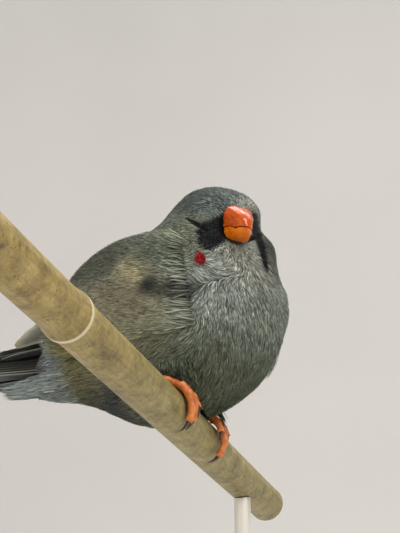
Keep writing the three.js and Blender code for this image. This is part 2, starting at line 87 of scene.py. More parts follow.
def mix(a, b, s):
    return a + (b - a) * s


def turnOf(yaw, pitch):
    # yaw carries the front from -Y to the right, pitch lifts it
    z, x = math.radians(-yaw), math.radians(-pitch)
    about = np.array([[math.cos(z), -math.sin(z), 0], [math.sin(z), math.cos(z), 0], [0, 0, 1]])
    over = np.array([[1, 0, 0], [0, math.cos(x), -math.sin(x)], [0, math.sin(x), math.cos(x)]])
    return about @ over


def hexColour(code):
    # an sRGB hex value as linear light
    parts = [int(code[i:i + 2], 16) / 255 for i in (1, 3, 5)]
    return [p / 12.92 if p <= 0.04045 else ((p + 0.055) / 1.055) ** 2.4 for p in parts] + [1.0]


def colour(code):
    return np.array(hexColour(code)[:3])


def deselectAll():
    if bpy.context.mode != "OBJECT":
        bpy.ops.object.mode_set(mode="OBJECT")
    bpy.ops.object.select_all(action="DESELECT")


def makeActive(piece):
    deselectAll()
    piece.select_set(True)
    bpy.context.view_layer.objects.active = piece


def applyModifier(piece, kind, settings):
    makeActive(piece)
    modifier = piece.modifiers.new(kind.lower(), kind)
    for name, value in settings.items():
        setattr(modifier, name, value)
    bpy.ops.object.modifier_apply(modifier=modifier.name)


def editMesh(piece, steps):
    makeActive(piece)
    bpy.ops.object.mode_set(mode="EDIT")
    bpy.ops.mesh.select_all(action="SELECT")
    steps()
    bpy.ops.object.mode_set(mode="OBJECT")


def readAll(items, name, width=3):
    # one property of all vertices or faces, a row each
    flat = np.zeros(len(items) * width)
    items.foreach_get(name, flat)
    return flat.reshape(-1, width)


def pointsOf(piece):
    return fromFrame(readAll(piece.data.vertices, "co"))


def normalsOf(piece):
    return readAll(piece.data.vertices, "normal")


def movePoints(piece, points):
    piece.data.vertices.foreach_set("co", toFrame(points).ravel())
    piece.data.update()


def copyOfNodes(pieceName, nodeNames):
    # the CAD solids of a piece as one mesh of its own, their loose triangles merged
    deselectAll()
    for name in nodeNames:
        twin = frame["nodes"][name].copy()
        twin.data = twin.data.copy()
        twin.parent = None
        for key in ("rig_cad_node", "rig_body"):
            if key in twin:
                del twin[key]
        bpy.context.scene.collection.objects.link(twin)
        twin.select_set(True)
        bpy.context.view_layer.objects.active = twin
    if len(nodeNames) > 1:
        bpy.ops.object.join()
    piece = bpy.context.view_layer.objects.active
    piece.name = pieceName
    piece.data.name = pieceName
    piece.data.materials.clear()
    editMesh(piece, lambda: bpy.ops.mesh.remove_doubles(threshold=1e-6))
    return piece


def dress(piece, material, nodes):
    # gives a finished piece its material and its place in the part
    piece.data.materials.clear()
    piece.data.materials.append(material)
    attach(piece, "root")
    if nodes:
        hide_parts(*nodes)
    return piece


def meshFromArrays(name, points, triangles):
    mesh = bpy.data.meshes.new(name)
    mesh.vertices.add(len(points))
    mesh.vertices.foreach_set("co", toFrame(points).astype(np.float32).ravel())
    mesh.loops.add(triangles.size)
    mesh.loops.foreach_set("vertex_index", triangles.astype(np.int32).ravel())
    mesh.polygons.add(len(triangles))
    mesh.polygons.foreach_set("loop_start", np.arange(0, triangles.size, 3, dtype=np.int32))
    mesh.update(calc_edges=True)
    mesh.shade_smooth()
    piece = bpy.data.objects.new(name, mesh)
    bpy.context.scene.collection.objects.link(piece)
    return piece


def paint(piece, name, colours):
    layer = piece.data.color_attributes.new(name, "FLOAT_COLOR", "POINT")
    flat = np.ones((len(piece.data.vertices), 4), np.float32)
    flat[:, :3] = colours
    layer.data.foreach_set("color", flat.ravel())


def mapCorners(piece, name, places):
    # a UV map from one place per vertex
    layer = piece.data.uv_layers.new(name=name)
    corners = np.zeros(len(piece.data.loops), np.int32)
    piece.data.loops.foreach_get("vertex_index", corners)
    layer.data.foreach_set("uv", places[corners].astype(np.float32).ravel())


def addNode(tree, kind, settings=None, inputs=None):
    # a shader node with its settings; a socket takes a value or a link, and a node stands for its first output
    node = tree.nodes.new("ShaderNode" + kind)
    for name, value in (settings or {}).items():
        if name == "stops":
            ramp = node.color_ramp
            while len(ramp.elements) < len(value):
                ramp.elements.new(0.5)
            for element, (place, code) in zip(ramp.elements, value):
                element.position = place
                element.color = hexColour(code)
        else:
            setattr(node, name, value)
    for key, value in (inputs or {}).items():
        if isinstance(value, bpy.types.Node):
            value = value.outputs[0]
        if isinstance(value, bpy.types.NodeSocket):
            tree.links.new(value, node.inputs[key])
        else:
            node.inputs[key].default_value = value
    return node


def newMaterial(name):
    material = bpy.data.materials.new(name)
    material.use_nodes = True
    material.node_tree.nodes.clear()
    return material, material.node_tree


def finishMaterial(tree, shader):
    addNode(tree, "OutputMaterial", None, {"Surface": shader})


# the body's form, as the solids have it
headAt = np.array([-1.5, -10.5, 51.3])
headTurn = turnOf(51, -20)
bodyTurn = turnOf(10, 28)
bedTurn = turnOf(6, 4)
bodyMiddle = np.array([0.5, 4, 25])
throatAt, throatHalf = [-7.5, -19.2, 38.3], [12, 9, 9.5]
eyePlan = {"ahead": 4.7, "aside": 4.9, "above": -0.4, "turn": 42, "slope": 26}
bedLobes = [
    ([0.5, 5, 25], [17.2, 26, 18.5], bodyTurn),
    ([1, -9, 27.7], [17, 15.5, 17.2], bodyTurn),
    ([2, -1.8, 16.3], [17, 19, 12.4], bodyTurn),
    ([-4, 14, 33], [13, 19, 13], bodyTurn),
    ([-0.5, 27.5, 20], [10.6, 16.5, 7.2], bodyTurn),
    ([12.5, -16, 34], [5.5, 9, 8], bodyTurn),
    ([-13, -5, 35], [5, 9, 8], bodyTurn),
    ([-2.5, 33, 21.4], [10, 24, 7.8], bedTurn),
]
spinePoints = np.array([[-1, -26, 30], [0.4, 0, 26], [-1, 26, 20], [-6, 52, 16.6], [-12, 78, 15.4]], float)
spineStart, spineStep = -26.0, 26.0


def inHead(across, back, above):
    return headAt + headTurn @ np.array([across, back, above], float)


def toHead(points):
    return (points - headAt) @ headTurn


eyeCentres = [inHead(side * eyePlan["aside"], -eyePlan["ahead"], eyePlan["above"]) for side in (-1, 1)]


def offSlit(points, slope, drop):
    # how far above or below the line between the closed lids, and how far back along it from its middle
    turn, slope = math.radians(eyePlan["turn"]), math.radians(slope)
    best, along = np.full(len(points), 99.0), np.full(len(points), 99.0)
    for side in (-1, 1):
        x, y, z = (toHead(points) * [side, 1, 1] + [-eyePlan["aside"], eyePlan["ahead"], -eyePlan["above"]]).T
        outward, back = x * math.cos(turn) - y * math.sin(turn), x * math.sin(turn) + y * math.cos(turn)
        near = (outward > 0) & (np.linalg.norm([x, y, z], axis=0) < 7)
        best = np.where(near, np.abs(z * math.cos(slope) - back * math.sin(slope) + drop), best)
        along = np.where(near, back * math.cos(slope) + z * math.sin(slope), along)
    return best, along


bedBlend = 9  # millimetres over which two lobes run together


def fromBed(points):
    # distance from the surface that the wings lie on, the lobes run smoothly together
    nearest = None
    for at, half, turn in bedLobes:
        local = (points - np.array(at)) @ turn
        once = np.linalg.norm(local / half, axis=-1)
        twice = np.maximum(np.linalg.norm(local / half / half, axis=-1), 1e-9)
        distance = once * (once - 1) / twice
        if nearest is None:
            nearest = distance
        else:
            part = np.maximum(bedBlend - np.abs(nearest - distance), 0) / bedBlend
            nearest = np.minimum(nearest, distance) - part * part * bedBlend / 4
    return nearest


def spineAt(along):
    # middle line of body and tail, with the directions left and up across it
    along = np.asarray(along, float)
    before, after = 2 * spinePoints[0] - spinePoints[1], 2 * spinePoints[-1] - spinePoints[-2]
    padded = np.vstack([before, spinePoints, after])

    def at(values):
        place = np.clip((values - spineStart) / spineStep, 0, 3.99999)
        index = place.astype(int)
        t = (place - index)[..., None]
        a, b, c, d = (padded[index + k] for k in range(4))
        first, last = (c - a) / 2, (d - b) / 2
        curve = b + first * t + (3 * (c - b) - 2 * first - last) * t ** 2
        return curve + (2 * (b - c) + first + last) * t ** 3

    middle = at(along)
    back = unit(at(along + 0.05) - at(along - 0.05))
    left = unit(np.cross(back, [0, 0, 1]))
    return middle, left, np.cross(left, back)


def waver(points, size, seed):
    # smooth uneven values between about -1 and 1 that change over a size in millimetres
    chance = np.random.default_rng(seed)
    total = 0
    for _ in range(7):
        direction = unit(chance.normal(size=3)) * 2 * math.pi / size * chance.uniform(0.6, 1.6)
        total = total + np.sin(points @ direction + chance.uniform(0, 2 * math.pi))
    return total / 2.6


def onBed(side, along, around, lift):
    # a place over the wings' bed: along Y, degrees round the body from its top, and lifted off it
    middle, left, up = spineAt(along)
    angle = np.radians(around)[..., None] * side
    direction = up * np.cos(angle) + left * np.sin(angle)
    low = np.zeros(np.shape(along))
    high = np.full(np.shape(along), 4.0)
    for _ in range(22):
        outside = fromBed(middle + direction * high[..., None]) > lift
        low = np.where(outside, low, high)
        high = np.where(outside, high, high + 2.5)
    for _ in range(9):
        centre = (low + high) / 2
        outside = fromBed(middle + direction * centre[..., None]) > lift
        low, high = np.where(outside, low, centre), np.where(outside, centre, high)
    return middle + direction * ((low + high) / 2)[..., None]


def byTail(along, sideways, height):
    middle, left, up = spineAt(along)
    return middle + left * np.asarray(sideways)[..., None] + up * np.asarray(height)[..., None]


# markings, with painted shade among them, the same for skin and coat
plumagePlan = {
    "body": "#81897f", "breast": "#959c95", "lowBreastShade": "#59614f", "flank": "#928f75", "back": "#5f6152",
    "shoulder": "#b6ae8c", "wing": "#8a866e", "crown": "#4d5651", "brow": "#777767", "nape": "#717868",
    "chin": "#90948c", "loresAndShade": "#050609", "vent": "#6f6a45", "underVentShade": "#272b25", "undertail": "#7b8483",
    "shadedFold": "#232726", "rump": "#2a2f2e", "cheek": "#858b77", "cheekSide": "#4e5246",
}
# single paler feathers among the rest
streakPlan = {"forehead": "#a3adb2", "chin": "#cdc7b8"}


def within(points, centre, half, soft):
    # 1 inside an ellipsoid, fading to 0 over its soft outer share
    local = (points - np.asarray(centre)) / np.asarray(half, float)
    return 1 - smooth(1 - soft, 1 + soft, np.linalg.norm(local, axis=-1))


def nearLine(points, start, end, radius, soft):
    start, end = np.asarray(start, float), np.asarray(end, float)
    along = np.clip(((points - start) @ (end - start)) / ((end - start) @ (end - start)), 0, 1)
    away = np.linalg.norm(points - (start + along[:, None] * (end - start)), axis=-1)
    return 1 - smooth(radius - soft, radius + soft, away)


def layOver(base, code, amount):
    return base + (colour(code) - base) * np.asarray(amount)[:, None]


# strokes of the dark lores on the head's front: across and above at both ends, half width, softness
loresPlan = [
    ([-3.6, 0, 0.6], [-7.0, 0, -2.2], 2.4, 0.9),
    ([-4.2, 0, -2.6], [-9.0, 0, -5.6], 2.3, 0.7),
    ([-7.4, 0, -0.8], [-9.3, 0, -3.2], 1.3, 0.5),
    ([5.2, 0, 3.6], [6.6, 0, 0.4], 1.4, 0.5),
    ([7.0, 0, 0.6], [9.7, 0, -3.0], 1.5, 0.5),
    ([9.7, 0, -3.0], [10.7, 0, -8.4], 1.15, 0.5),
]


def blackAndShadeAt(points):
    # the dark lores run from the lids to the bill, and down beside the throat as a narrow streak; painted
    # shade adds a dark rim round the bill's base and a dark line along the slit between the lids
    head = toHead(points)
    front = head * [1, 0, 1]
    black = 0
    for start, end, radius, soft in loresPlan:
        black = np.maximum(black, nearLine(front, start, end, radius, soft))
    # painted shadow: a dark rim round the bill's base where it meets the head
    rim = within(front - [0.4, 0, 0.6], [0, 0, 0], [4.6, 1, 4.9], 0.06)
    black = np.maximum(black, rim * 0.8) * (1 - smooth(-4.5, -2.5, head[:, 1]))
    # painted shade: a dark line along the slit between the closed lids, wider at its inner end
    above, along = offSlit(points, eyePlan["slope"] - 5, 0.4)
    width = np.interp(along, [-4, 4], [0.75, 0.15])
    return np.maximum(black, (1 - smooth(width, width + 0.4, above)) * (1 - smooth(4.4, 5.2, np.abs(along))))


def plumageAt(points):
    plan, head = plumagePlan, toHead(points)
    x, y, z = points.T
    onHead = within(points, headAt + [0, 0, -1], [15, 15, 16], 0.25)
    # each marking or patch of painted shade lies over those before it
    layers = [
        ("flank", smooth(-9, 5, y) * (1 - smooth(28, 38, z))),
        ("breast", within(points, [-17, -14, 26], [8, 8, 8], 0.7)),
        # painted shade: the breast painted darker towards its bottom
        ("lowBreastShade", (1 - smooth(8, 22, z)) * (1 - smooth(10, 24, y))),
        ("vent", smooth(14, 26, y) * (1 - smooth(22, 29, z))),
        # painted shade: the underside of the body behind and under the cane painted near black
        ("underVentShade", smooth(8, 18, y) * (1 - smooth(26, 36, y)) * (1 - smooth(6, 14, z))),
        ("undertail", smooth(27, 34, y) * (1 - smooth(17, 24, z))),
        ("back", smooth(30, 38, z) * smooth(2, 14, y)),
        ("back", smooth(20, 26, z) * smooth(20, 34, y)),
        ("rump", smooth(32, 38, y) * smooth(19, 22, z)),
        ("wing", within(points, [-19, 9, 27.5], [6, 9, 5], 0.7)),
        ("shoulder", within(points, [-19.8, 6.3, 34.4], [5, 4.5, 4.2], 0.6)),
        ("nape", onHead),
        ("nape", within(points, [-17, -1, 42], [9, 11, 10], 0.4)),
        ("cheek", within(points, [-16.5, -3, 43], [6, 6, 5], 0.7)),
        ("crown", onHead * smooth(1, 5, head[:, 2])),
        ("brow", within(head, [3.6, -9.2, 6.6], [4.6, 3.4, 3.2], 0.5)),
        ("cheekSide", within(head, [12, -6, -5], [3, 5, 6], 0.5)),
        ("chin", within(points, throatAt, throatHalf, 0.3)),
        # painted shade: the fold under the cheek, where the cheek overhangs the shoulder, is painted dark
        ("shadedFold", nearLine(points, [-21, 2, 28.8], [-20.3, -3, 27], 2.4, 1.6) * 0.9),
        ("shadedFold", nearLine(points, [-20.3, -3, 27], [-19.3, -7, 26.6], 1.7, 1.4) * 0.8),
    ]
    base = np.tile(colour(plan["body"]), (len(points), 1))
    for name, amount in layers:
        base = layOver(base, plan[name], amount)
    return layOver(base, plan["loresAndShade"], blackAndShadeAt(points))


# lie and length of the coat
coatPlan = {
    "billRoot": [0.4, -8, 1.5],
    # the breast's feathers lie away from this line across it
    "breastLine": [[-20.3, -5, 27], [-10, -20, 33], [9, -21, 34], [19, -10, 30]],
    "depth": {"face": 0.35, "head": 0.6, "body": 1.0},
    "cover": {"head": 6.5, "body": 8.5},  # how many tufts lie over each other
    "thick": 0.08, "outerThick": 0.1,  # a body feather's and a wing or tail covert's blade
    "socket": 3.45, "slit": [0.45, 3.6],  # bare round the eyeball's middle, and beside and along the slit
    "hollow": 6.6, "clear": 5.45,  # from the cane's axis: no roots inside, and no tuft nearer
    "patch": 0.003,  # one tuft on the bake's map
}


def onHeadAmount(points):
    return 1 - smooth(17, 28, np.linalg.norm(points - headAt, axis=-1))


def fromLine(points, places):
    # the shortest way from a line of places to each point
    best, way = np.full(len(points), 1e9), np.zeros_like(points)
    for start, end in zip(np.array(places[:-1], float), np.array(places[1:], float)):
        part = np.clip(((points - start) @ (end - start)) / ((end - start) @ (end - start)), 0, 1)
        here = points - (start + part[:, None] * (end - start))
        nearer = np.linalg.norm(here, axis=1) < best
        best = np.where(nearer, np.linalg.norm(here, axis=1), best)
        way = np.where(nearer[:, None], here, way)
    return way


def lieAt(points, normals):
    # away from the bill on the head, down the breast and back along the flanks, always along the skin
    fromBill = unit(points - inHead(*coatPlan["billRoot"]))
    sweep = (0.8 * smooth(-18, 0, points[:, 1]) * (1 - smooth(34, 41, points[:, 2])))[:, None]
    fromBreast = unit(fromLine(points, coatPlan["breastLine"])) * (1 - sweep) + np.array([0, 1, -0.1]) * sweep
    amount = onHeadAmount(points)[:, None]
    flow = fromBill * amount + fromBreast * (1 - amount) + np.array([0, 0.15, -0.15])
    flow = flow - normals * (flow * normals).sum(1, keepdims=True)
    return unit(flow)


def faceAmount(points):
    # 1 at the bill's base, 0 from the cheeks back
    return 1 - smooth(4.5, 10, np.linalg.norm(toHead(points) - [0, -9.5, 0], axis=-1))


def eyeDistance(points):
    return np.minimum(*[np.linalg.norm(points - centre, axis=-1) for centre in eyeCentres])


def depthAt(points):
    depth = coatPlan["depth"]
    amount = mix(depth["body"], depth["head"], onHeadAmount(points))
    amount = mix(amount, depth["face"], faceAmount(points))
    return amount * smooth(3.6, 6.5, eyeDistance(points))


def tuftSize(points):
    # length and width in millimetres
    y = points[:, 1]
    amount = onHeadAmount(points)
    length = mix(4.3, 2.4, amount) + 1.2 * smooth(-5, 12, y) + 2.2 * smooth(20, 32, y)
    throat = within(points, [-9.5, -19, 37], [12, 9, 9], 0.4)
    length = mix(length, 1.6, faceAmount(points))
    length = mix(length, 4.2, throat * smooth(4.5, 8, -toHead(points)[:, 2]))
    nearEye = smooth(4.2, 6, eyeDistance(points))
    length = mix(0.7, length, nearEye)
    width = mix(0.46, 0.33, amount) + 0.12 * smooth(20, 32, y) + 0.1 * throat
    return length, mix(0.22, width, nearEye)


# skin
print("skin")
skinPlan = {"voxel": 0.00042, "swell": 0.28, "rounds": 5, "lastRounds": 3, "shadedFold": 1.0, "paintedShade": 0.55}
skin = copyOfNodes("finch_skin", ["torso", "neck", "head"])
places = pointsOf(skin)
swell = skinPlan["swell"] * smooth(4.5, 6, eyeDistance(places))
movePoints(skin, places + normalsOf(skin) * swell[:, None])
applyModifier(skin, "REMESH", {"mode": "VOXEL", "voxel_size": skinPlan["voxel"]})
applyModifier(skin, "SMOOTH", {"factor": 0.5, "iterations": skinPlan["rounds"]})
places = pointsOf(skin)
inward = depthAt(places) + skinPlan["swell"] * smooth(4.5, 6, eyeDistance(places))
shadedFold = np.maximum(nearLine(places, [-22, 4, 30], [-20.8, -3, 27], 2.6, 2.2),
                  nearLine(places, [-20.8, -3, 27], [-18, -10, 25.5], 2.4, 2.0))
movePoints(skin, places - normalsOf(skin) * (inward + skinPlan["shadedFold"] * shadedFold)[:, None])
applyModifier(skin, "SMOOTH", {"factor": 0.5, "iterations": skinPlan["lastRounds"]})
skin.data.shade_smooth()
# painted shade: the skin's down painted darker than the coat over it, so the gaps between tufts look shaded
paint(skin, "plumage", plumageAt(pointsOf(skin)) * skinPlan["paintedShade"])
print("skin faces", len(skin.data.polygons))


# coat
def growPiece(name, lines, normals, widths, thickness, colours, roots):
    # a coat piece with one thin blade per line of points: three corners a ring, pointed at its tip
    count, rings = lines.shape[0], lines.shape[1] - 1
    tangents = unit(np.gradient(lines, axis=1))
    across = unit(np.cross(normals, tangents))
    over = np.cross(tangents, across)
    profile = np.interp(np.arange(rings) / rings, [0, 0.35, 0.75, 1], [0.55, 1, 0.8, 0.15])
    half = (widths[:, None] * profile[None, :] / 2)[..., None]
    body = lines[:, :rings]
    left = body - across[:, :rings] * half
    right = body + across[:, :rings] * half
    ridge = body + over[:, :rings] * (thickness * np.maximum(profile, 0.5))[None, :, None]
    corners = np.stack([left, right, ridge], axis=2).reshape(count, rings * 3, 3)
    points = np.concatenate([corners, lines[:, rings:]], axis=1)
    each = rings * 3 + 1
    faces = [[0, 2, 1]]
    for ring in range(rings - 1):
        a = ring * 3
        for one, two in ((0, 1), (1, 2), (2, 0)):
            faces += [[a + one, a + two, a + two + 3], [a + one, a + two + 3, a + one + 3]]
    a = (rings - 1) * 3
    faces += [[a + one, a + two, each - 1] for one, two in ((0, 1), (1, 2), (2, 0))]
    triangles = (np.arange(count)[:, None, None] * each + np.array(faces)[None]).reshape(-1, 3)
    piece = meshFromArrays(name, points.reshape(-1, 3), triangles)
    along = np.concatenate([np.repeat(np.arange(rings) / rings, 3), [1.0]])
    # painted shade: each tuft darker towards its root, where others lie over it, and lighter at its tip
    paintedShade = np.interp(along, [0, 0.45, 1], [0.5, 0.95, 1.16])
    paint(piece, "plumage", (colours[:, None, :] * paintedShade[None, :, None]).reshape(-1, 3))
    spread = np.concatenate([np.tile([-0.5, 0.5, 0], rings), [0]])
    offset = np.stack([spread, along - 0.5], axis=1) * coatPlan["patch"]
    mapCorners(piece, "OFBake", (roots[:, None, :] + offset[None]).reshape(-1, 2))
    return dress(piece, coatMaterial, [])


def unwrapped(points, centre):
    # a body unfolded from its own middle on to a square, eight sides opened out flat
    ray = unit(points - centre)
    flat = ray / np.abs(ray).sum(1, keepdims=True)
    u, v = flat[:, 0], flat[:, 1]
    across, along = np.where(u >= 0, 1, -1), np.where(v >= 0, 1, -1)
    folded = np.stack([(1 - np.abs(v)) * across, (1 - np.abs(u)) * along], 1)
    place = np.where(flat[:, 2:3] < 0, folded, np.stack([u, v], 1))
    return 0.004 + 0.992 * (place * 0.5 + 0.5)


dropPlan = {
    "places": {"right": [-19.2, -10.4, 36.5], "left": [14.5, -17.5, 38]},
    "height": 3.0, "halfWidth": 1.12, "longer": 0.5, "lift": 0.7, "count": 220, "colour": "#99151f",
}


def skinRoots(piece, part):
    # evenly strewn roots over the skin, closer where the tufts are small
    faces = piece.data.polygons
    areas = readAll(faces, "area", 1)[:, 0]
    centres, normals = fromFrame(readAll(faces, "center")), readAll(faces, "normal")
    length, width = tuftSize(centres)
    cover = mix(coatPlan["cover"]["body"], coatPlan["cover"]["head"], onHeadAmount(centres)) * part
    weight = areas * 1e6 * cover / (0.6 * length * width)
    # none on the eyeballs' sockets or across the slit between the lids
    above, along = offSlit(centres, eyePlan["slope"], 0)
    beside, ahead = coatPlan["slit"]
    weight = weight * (eyeDistance(centres) > coatPlan["socket"])
    weight = weight * ((above > beside) | (np.abs(along) > ahead))
    # nothing grows inside the hollow that the cane and the feet fill
    weight = weight * (np.hypot(centres[:, 1], centres[:, 2]) > coatPlan["hollow"])
    weight = weight * (within(toHead(centres), [0.4, -9, 0], [4.3, 5, 4.4], 0.02) < 0.5)
    for place in dropPlan["places"].values():
        weight = weight * (within(centres, np.array(place) + [0, 0, 0.5], [2, 1.4, 2.6], 0.02) < 0.5)
    total = np.concatenate([[0], np.cumsum(weight)])
    wanted = int(total[-1])
    picks = (np.arange(wanted) + draws.random(wanted)) * total[-1] / wanted
    index = np.clip(np.searchsorted(total, picks) - 1, 0, len(faces) - 1)
    jitter = draws.normal(0, 0.16, (wanted, 3))
    points, facing = centres[index], normals[index]
    jitter -= facing * (jitter * facing).sum(1, keepdims=True)
    return points + jitter, facing


def bareOfCane(points, clear):
    # keeps tufts off the cane that the bird sits on
    away = np.hypot(points[..., 1], points[..., 2])
    push = np.where(away < clear, clear / np.maximum(away, 1e-6), 1)
    out = points.copy()
    out[..., 1] *= push
    out[..., 2] *= push
    return out


def onSkin(points):
    # the nearest places on the skin, and which way it faces there
    hits = [surface.find_nearest(p) for p in points.tolist()]
    return (np.array([hit[k] for hit in hits]) for k in (0, 1))


def growTufts(points, normals, rings, flowAt, longer=1.0):
    # each tuft's line follows the skin along its lie and lifts towards its tip
    length, width = tuftSize(points)
    length = length * draws.uniform(0.75, 1.2, len(points)) * longer
    depth = np.maximum(depthAt(points), 0.12)
    sway = draws.normal(0, 0.13, len(points)) + 0.2 * waver(points, 7, 3)
    place, facing = points.copy(), normals.copy()
    lift = draws.uniform(0.65, 1.1, len(points)) + 0.12 * waver(points, 4, 4)
    line, rows = [points - normals * 0.25], [normals]
    for ring in range(1, rings + 1):
        flow = flowAt(place, facing)
        flow = unit(flow + np.cross(facing, flow) * sway[:, None])
        place, facing = onSkin(place + flow * (length / rings)[:, None])
        rise = depth * lift * (ring / rings) ** 0.8
        line.append(place + facing * rise[:, None])
        rows.append(facing)
    return bareOfCane(np.stack(line, 1), coatPlan["clear"]), np.stack(rows, 1), width


def tuftColours(lines):
    # the marking where the tuft shows; each is a little lighter or darker, and a few stand out from the rest
    points = lines[:, -1] * 0.6 + lines[:, -2] * 0.4
    base, chance = plumageAt(points), draws.random(len(points))
    forehead = within(toHead(points), [-1, -7, 5], [10, 6.5, 5.5], 0.3)
    chin = within(points, throatAt, throatHalf, 0.35)
    pale = layOver(layOver(base * 1.6, streakPlan["forehead"], forehead), streakPlan["chin"], chin)
    plain = smooth(0.02, 0.08, base[:, 1])
    light = (chance < 0.13 + 0.1 * forehead + 0.18 * chin) * 0.55 * plain
    dark = chance > 0.87 - 0.08 * forehead - 0.06 * chin
    base = (base + (pale - base) * light[:, None]) * np.where(dark, 0.45, 1)[:, None]
    # a painted highlight: a bluish glint on a few feathers in the black
    glint = (chance < 0.16) * (1 - plain) * draws.uniform(0.3, 1, len(points))
    base = base + glint[:, None] * np.array([0.03, 0.037, 0.05])
    tint = np.exp(draws.normal(0, 0.19, len(points)))
    tint = tint + 0.08 * waver(points, 5, 6) + 0.06 * waver(points, 12, 7)
    return np.clip(base * np.clip(tint, 0.45, 1.9)[:, None], 0.001, 0.9)


def regionOf(points):
    # which coat piece a root belongs to
    head, body = toHead(points), (points - bodyMiddle) @ bodyTurn
    side = np.where(body[:, 0] < 0, "right", "left")
    onHead = onHeadAmount(points) > 0.9
    area = np.full(len(points), "belly", dtype=object)
    area[body[:, 2] > 6] = "back"
    area[(np.abs(body[:, 0]) > 5) & (body[:, 2] <= 6) & (body[:, 2] > -14)] = "flank"
    area[body[:, 1] < -11] = "breast"
    area[points[:, 1] > 22] = "rump"
    area[points[:, 2] > 36] = "neck"
    area[onHead] = "cheek"
    area[onHead & (head[:, 2] > 0.5)] = "crown"
    area[onHead & (head[:, 2] > 0.5) & (head[:, 1] < -1)] = "brow"
    side = np.where(onHead & (head[:, 0] < 0), "right", np.where(onHead, "left", side))
    return np.array(["coat_" + a + "_" + b for a, b in zip(area, side)], dtype=object)


def plumageMaterial(name, attribute, roughness):
    # small body feathers: soft, matt, with a faint sheen from their barbs
    material, tree = newMaterial(name)
    markings = addNode(tree, "Attribute", {"attribute_name": attribute})
    where = addNode(tree, "TexCoord").outputs["Object"]
    blotch = addNode(tree, "TexNoise", None, {"Vector": where, "Scale": 420, "Detail": 3})
    vary = addNode(tree, "MapRange", None, {
        "Value": blotch, "From Min": 0.3, "From Max": 0.7, "To Min": 0.86, "To Max": 1.14})
    tone = addNode(tree, "VectorMath", {"operation": "SCALE"}, {
        0: markings, "Scale": vary})
    barbs = addNode(tree, "TexNoise", None, {
        "Vector": where, "Scale": 2600, "Detail": 2})
    bump = addNode(tree, "Bump", None, {
        "Height": barbs, "Strength": 0.35, "Distance": 0.0002})
    shader = addNode(tree, "BsdfPrincipled", None, {
        "Base Color": tone, "Roughness": roughness, "Specular IOR Level": 0.18,
        "Sheen Weight": 0.06, "Sheen Roughness": 0.5, "Normal": bump})
    finishMaterial(tree, shader)
    return material


print("coat")
downMaterial = plumageMaterial("finchDown", "plumage", 0.9)
coatMaterial = plumageMaterial("finchContourFeathers", "plumage", 0.72)
dress(skin, downMaterial, ["torso", "neck", "head"])
surface = BVHTree.FromPolygons([tuple(p) for p in pointsOf(skin).tolist()],
                               [tuple(f.vertices) for f in skin.data.polygons])
rootPoints, rootNormals = skinRoots(skin, share)
regions = regionOf(rootPoints)
for name in sorted(set(regions)):
    mine = regions == name
    onHead = name.split("_")[1] in ("cheek", "crown", "brow")
    lines, facings, widths = growTufts(rootPoints[mine], rootNormals[mine], 2 if onHead else 3, lieAt)
    centre = headAt if onHead else bodyMiddle
    piece = growPiece(name, lines, facings, widths, coatPlan["thick"],
                      tuftColours(lines), unwrapped(rootPoints[mine], centre))
    print(name, int(mine.sum()), "tufts", len(piece.data.polygons), "faces")


# the red drop beside each side of the throat: short feathers that hang straight down
def hang(points, normals):
    down = np.tile([0, 0, -1.0], (len(points), 1))
    return unit(down - normals * (down * normals).sum(1, keepdims=True))


for sideName, place in dropPlan["places"].items():
    spot, facing = (np.array(v) for v in surface.find_nearest(place)[:2])
    down = hang(spot[None], facing[None])[0]
    aside = np.cross(facing, down)
    count = dropPlan["count"]
    part = np.sqrt(draws.random(count))
    outline = np.interp(part, [0, 0.55, 0.8, 1], [0.12, 0.8, 1, 0.55])
    wide = draws.uniform(-1, 1, count) * outline * dropPlan["halfWidth"]
    roots = spot + np.outer((part - 0.62) * dropPlan["height"], down) + np.outer(wide, aside)
    roots, normals = onSkin(roots)
    lines, facings, widths = growTufts(roots, normals, 2, hang, dropPlan["longer"])
    lines = lines + facings * dropPlan["lift"]
    tints = colour(dropPlan["colour"]) * draws.uniform(0.55, 1.35, (count, 1))
    growPiece("coat_drop_" + sideName, lines, facings, widths, coatPlan["thick"],
              tints, unwrapped(roots, headAt))


# belly feathers that hang over the start of the toes
thighPlan = {
    # roots out from the foot's middle, below a height, and this far either way of a line across
    "footAside": 13.2, "inner": -3.6, "outer": {-1: 4.4, 1: -1.2}, "below": 12.5, "line": -2, "reach": 4.5,
    "length": [2.4, 4.4], "width": 0.46, "clear": 7.9,
}
for side, sideName in sides:
    plan = thighPlan
    aside = rootPoints[:, 0] * side - plan["footAside"]
    mine = (aside > plan["inner"]) & (aside < plan["outer"][side])
    mine = mine & (rootPoints[:, 2] < plan["below"] + 0.4 * aside)
    mine = mine & (np.abs(rootPoints[:, 1] - plan["line"]) < plan["reach"])
    roots, normals, outer = rootPoints[mine], rootNormals[mine], np.clip(aside[mine], 0, 4.4)
    count = len(roots)
    size, steps = draws.uniform(*plan["length"], count) + 0.75 * outer, np.linspace(0, 1, 4)
    flow = np.array([side * 0.25, -0.3, -0.9]) + outer[:, None] * np.array([-side * 0.02, 0.04, 0])
    flow = unit(flow + draws.normal(0, 0.12, (count, 3)))
    lines = roots[:, None] - normals[:, None] * 0.7 + flow[:, None] * (size[:, None] * steps[None])[..., None]
    lines = bareOfCane(lines, plan["clear"])
    facings = np.repeat(unit(lines.mean(1) * [0, 1, 1] + [side * 3, 0, 0])[:, None], 4, 1)
    growPiece("coat_thigh_" + sideName, lines, facings, np.full(count, plan["width"]), coatPlan["thick"],
              tuftColours(lines), unwrapped(roots, bodyMiddle))


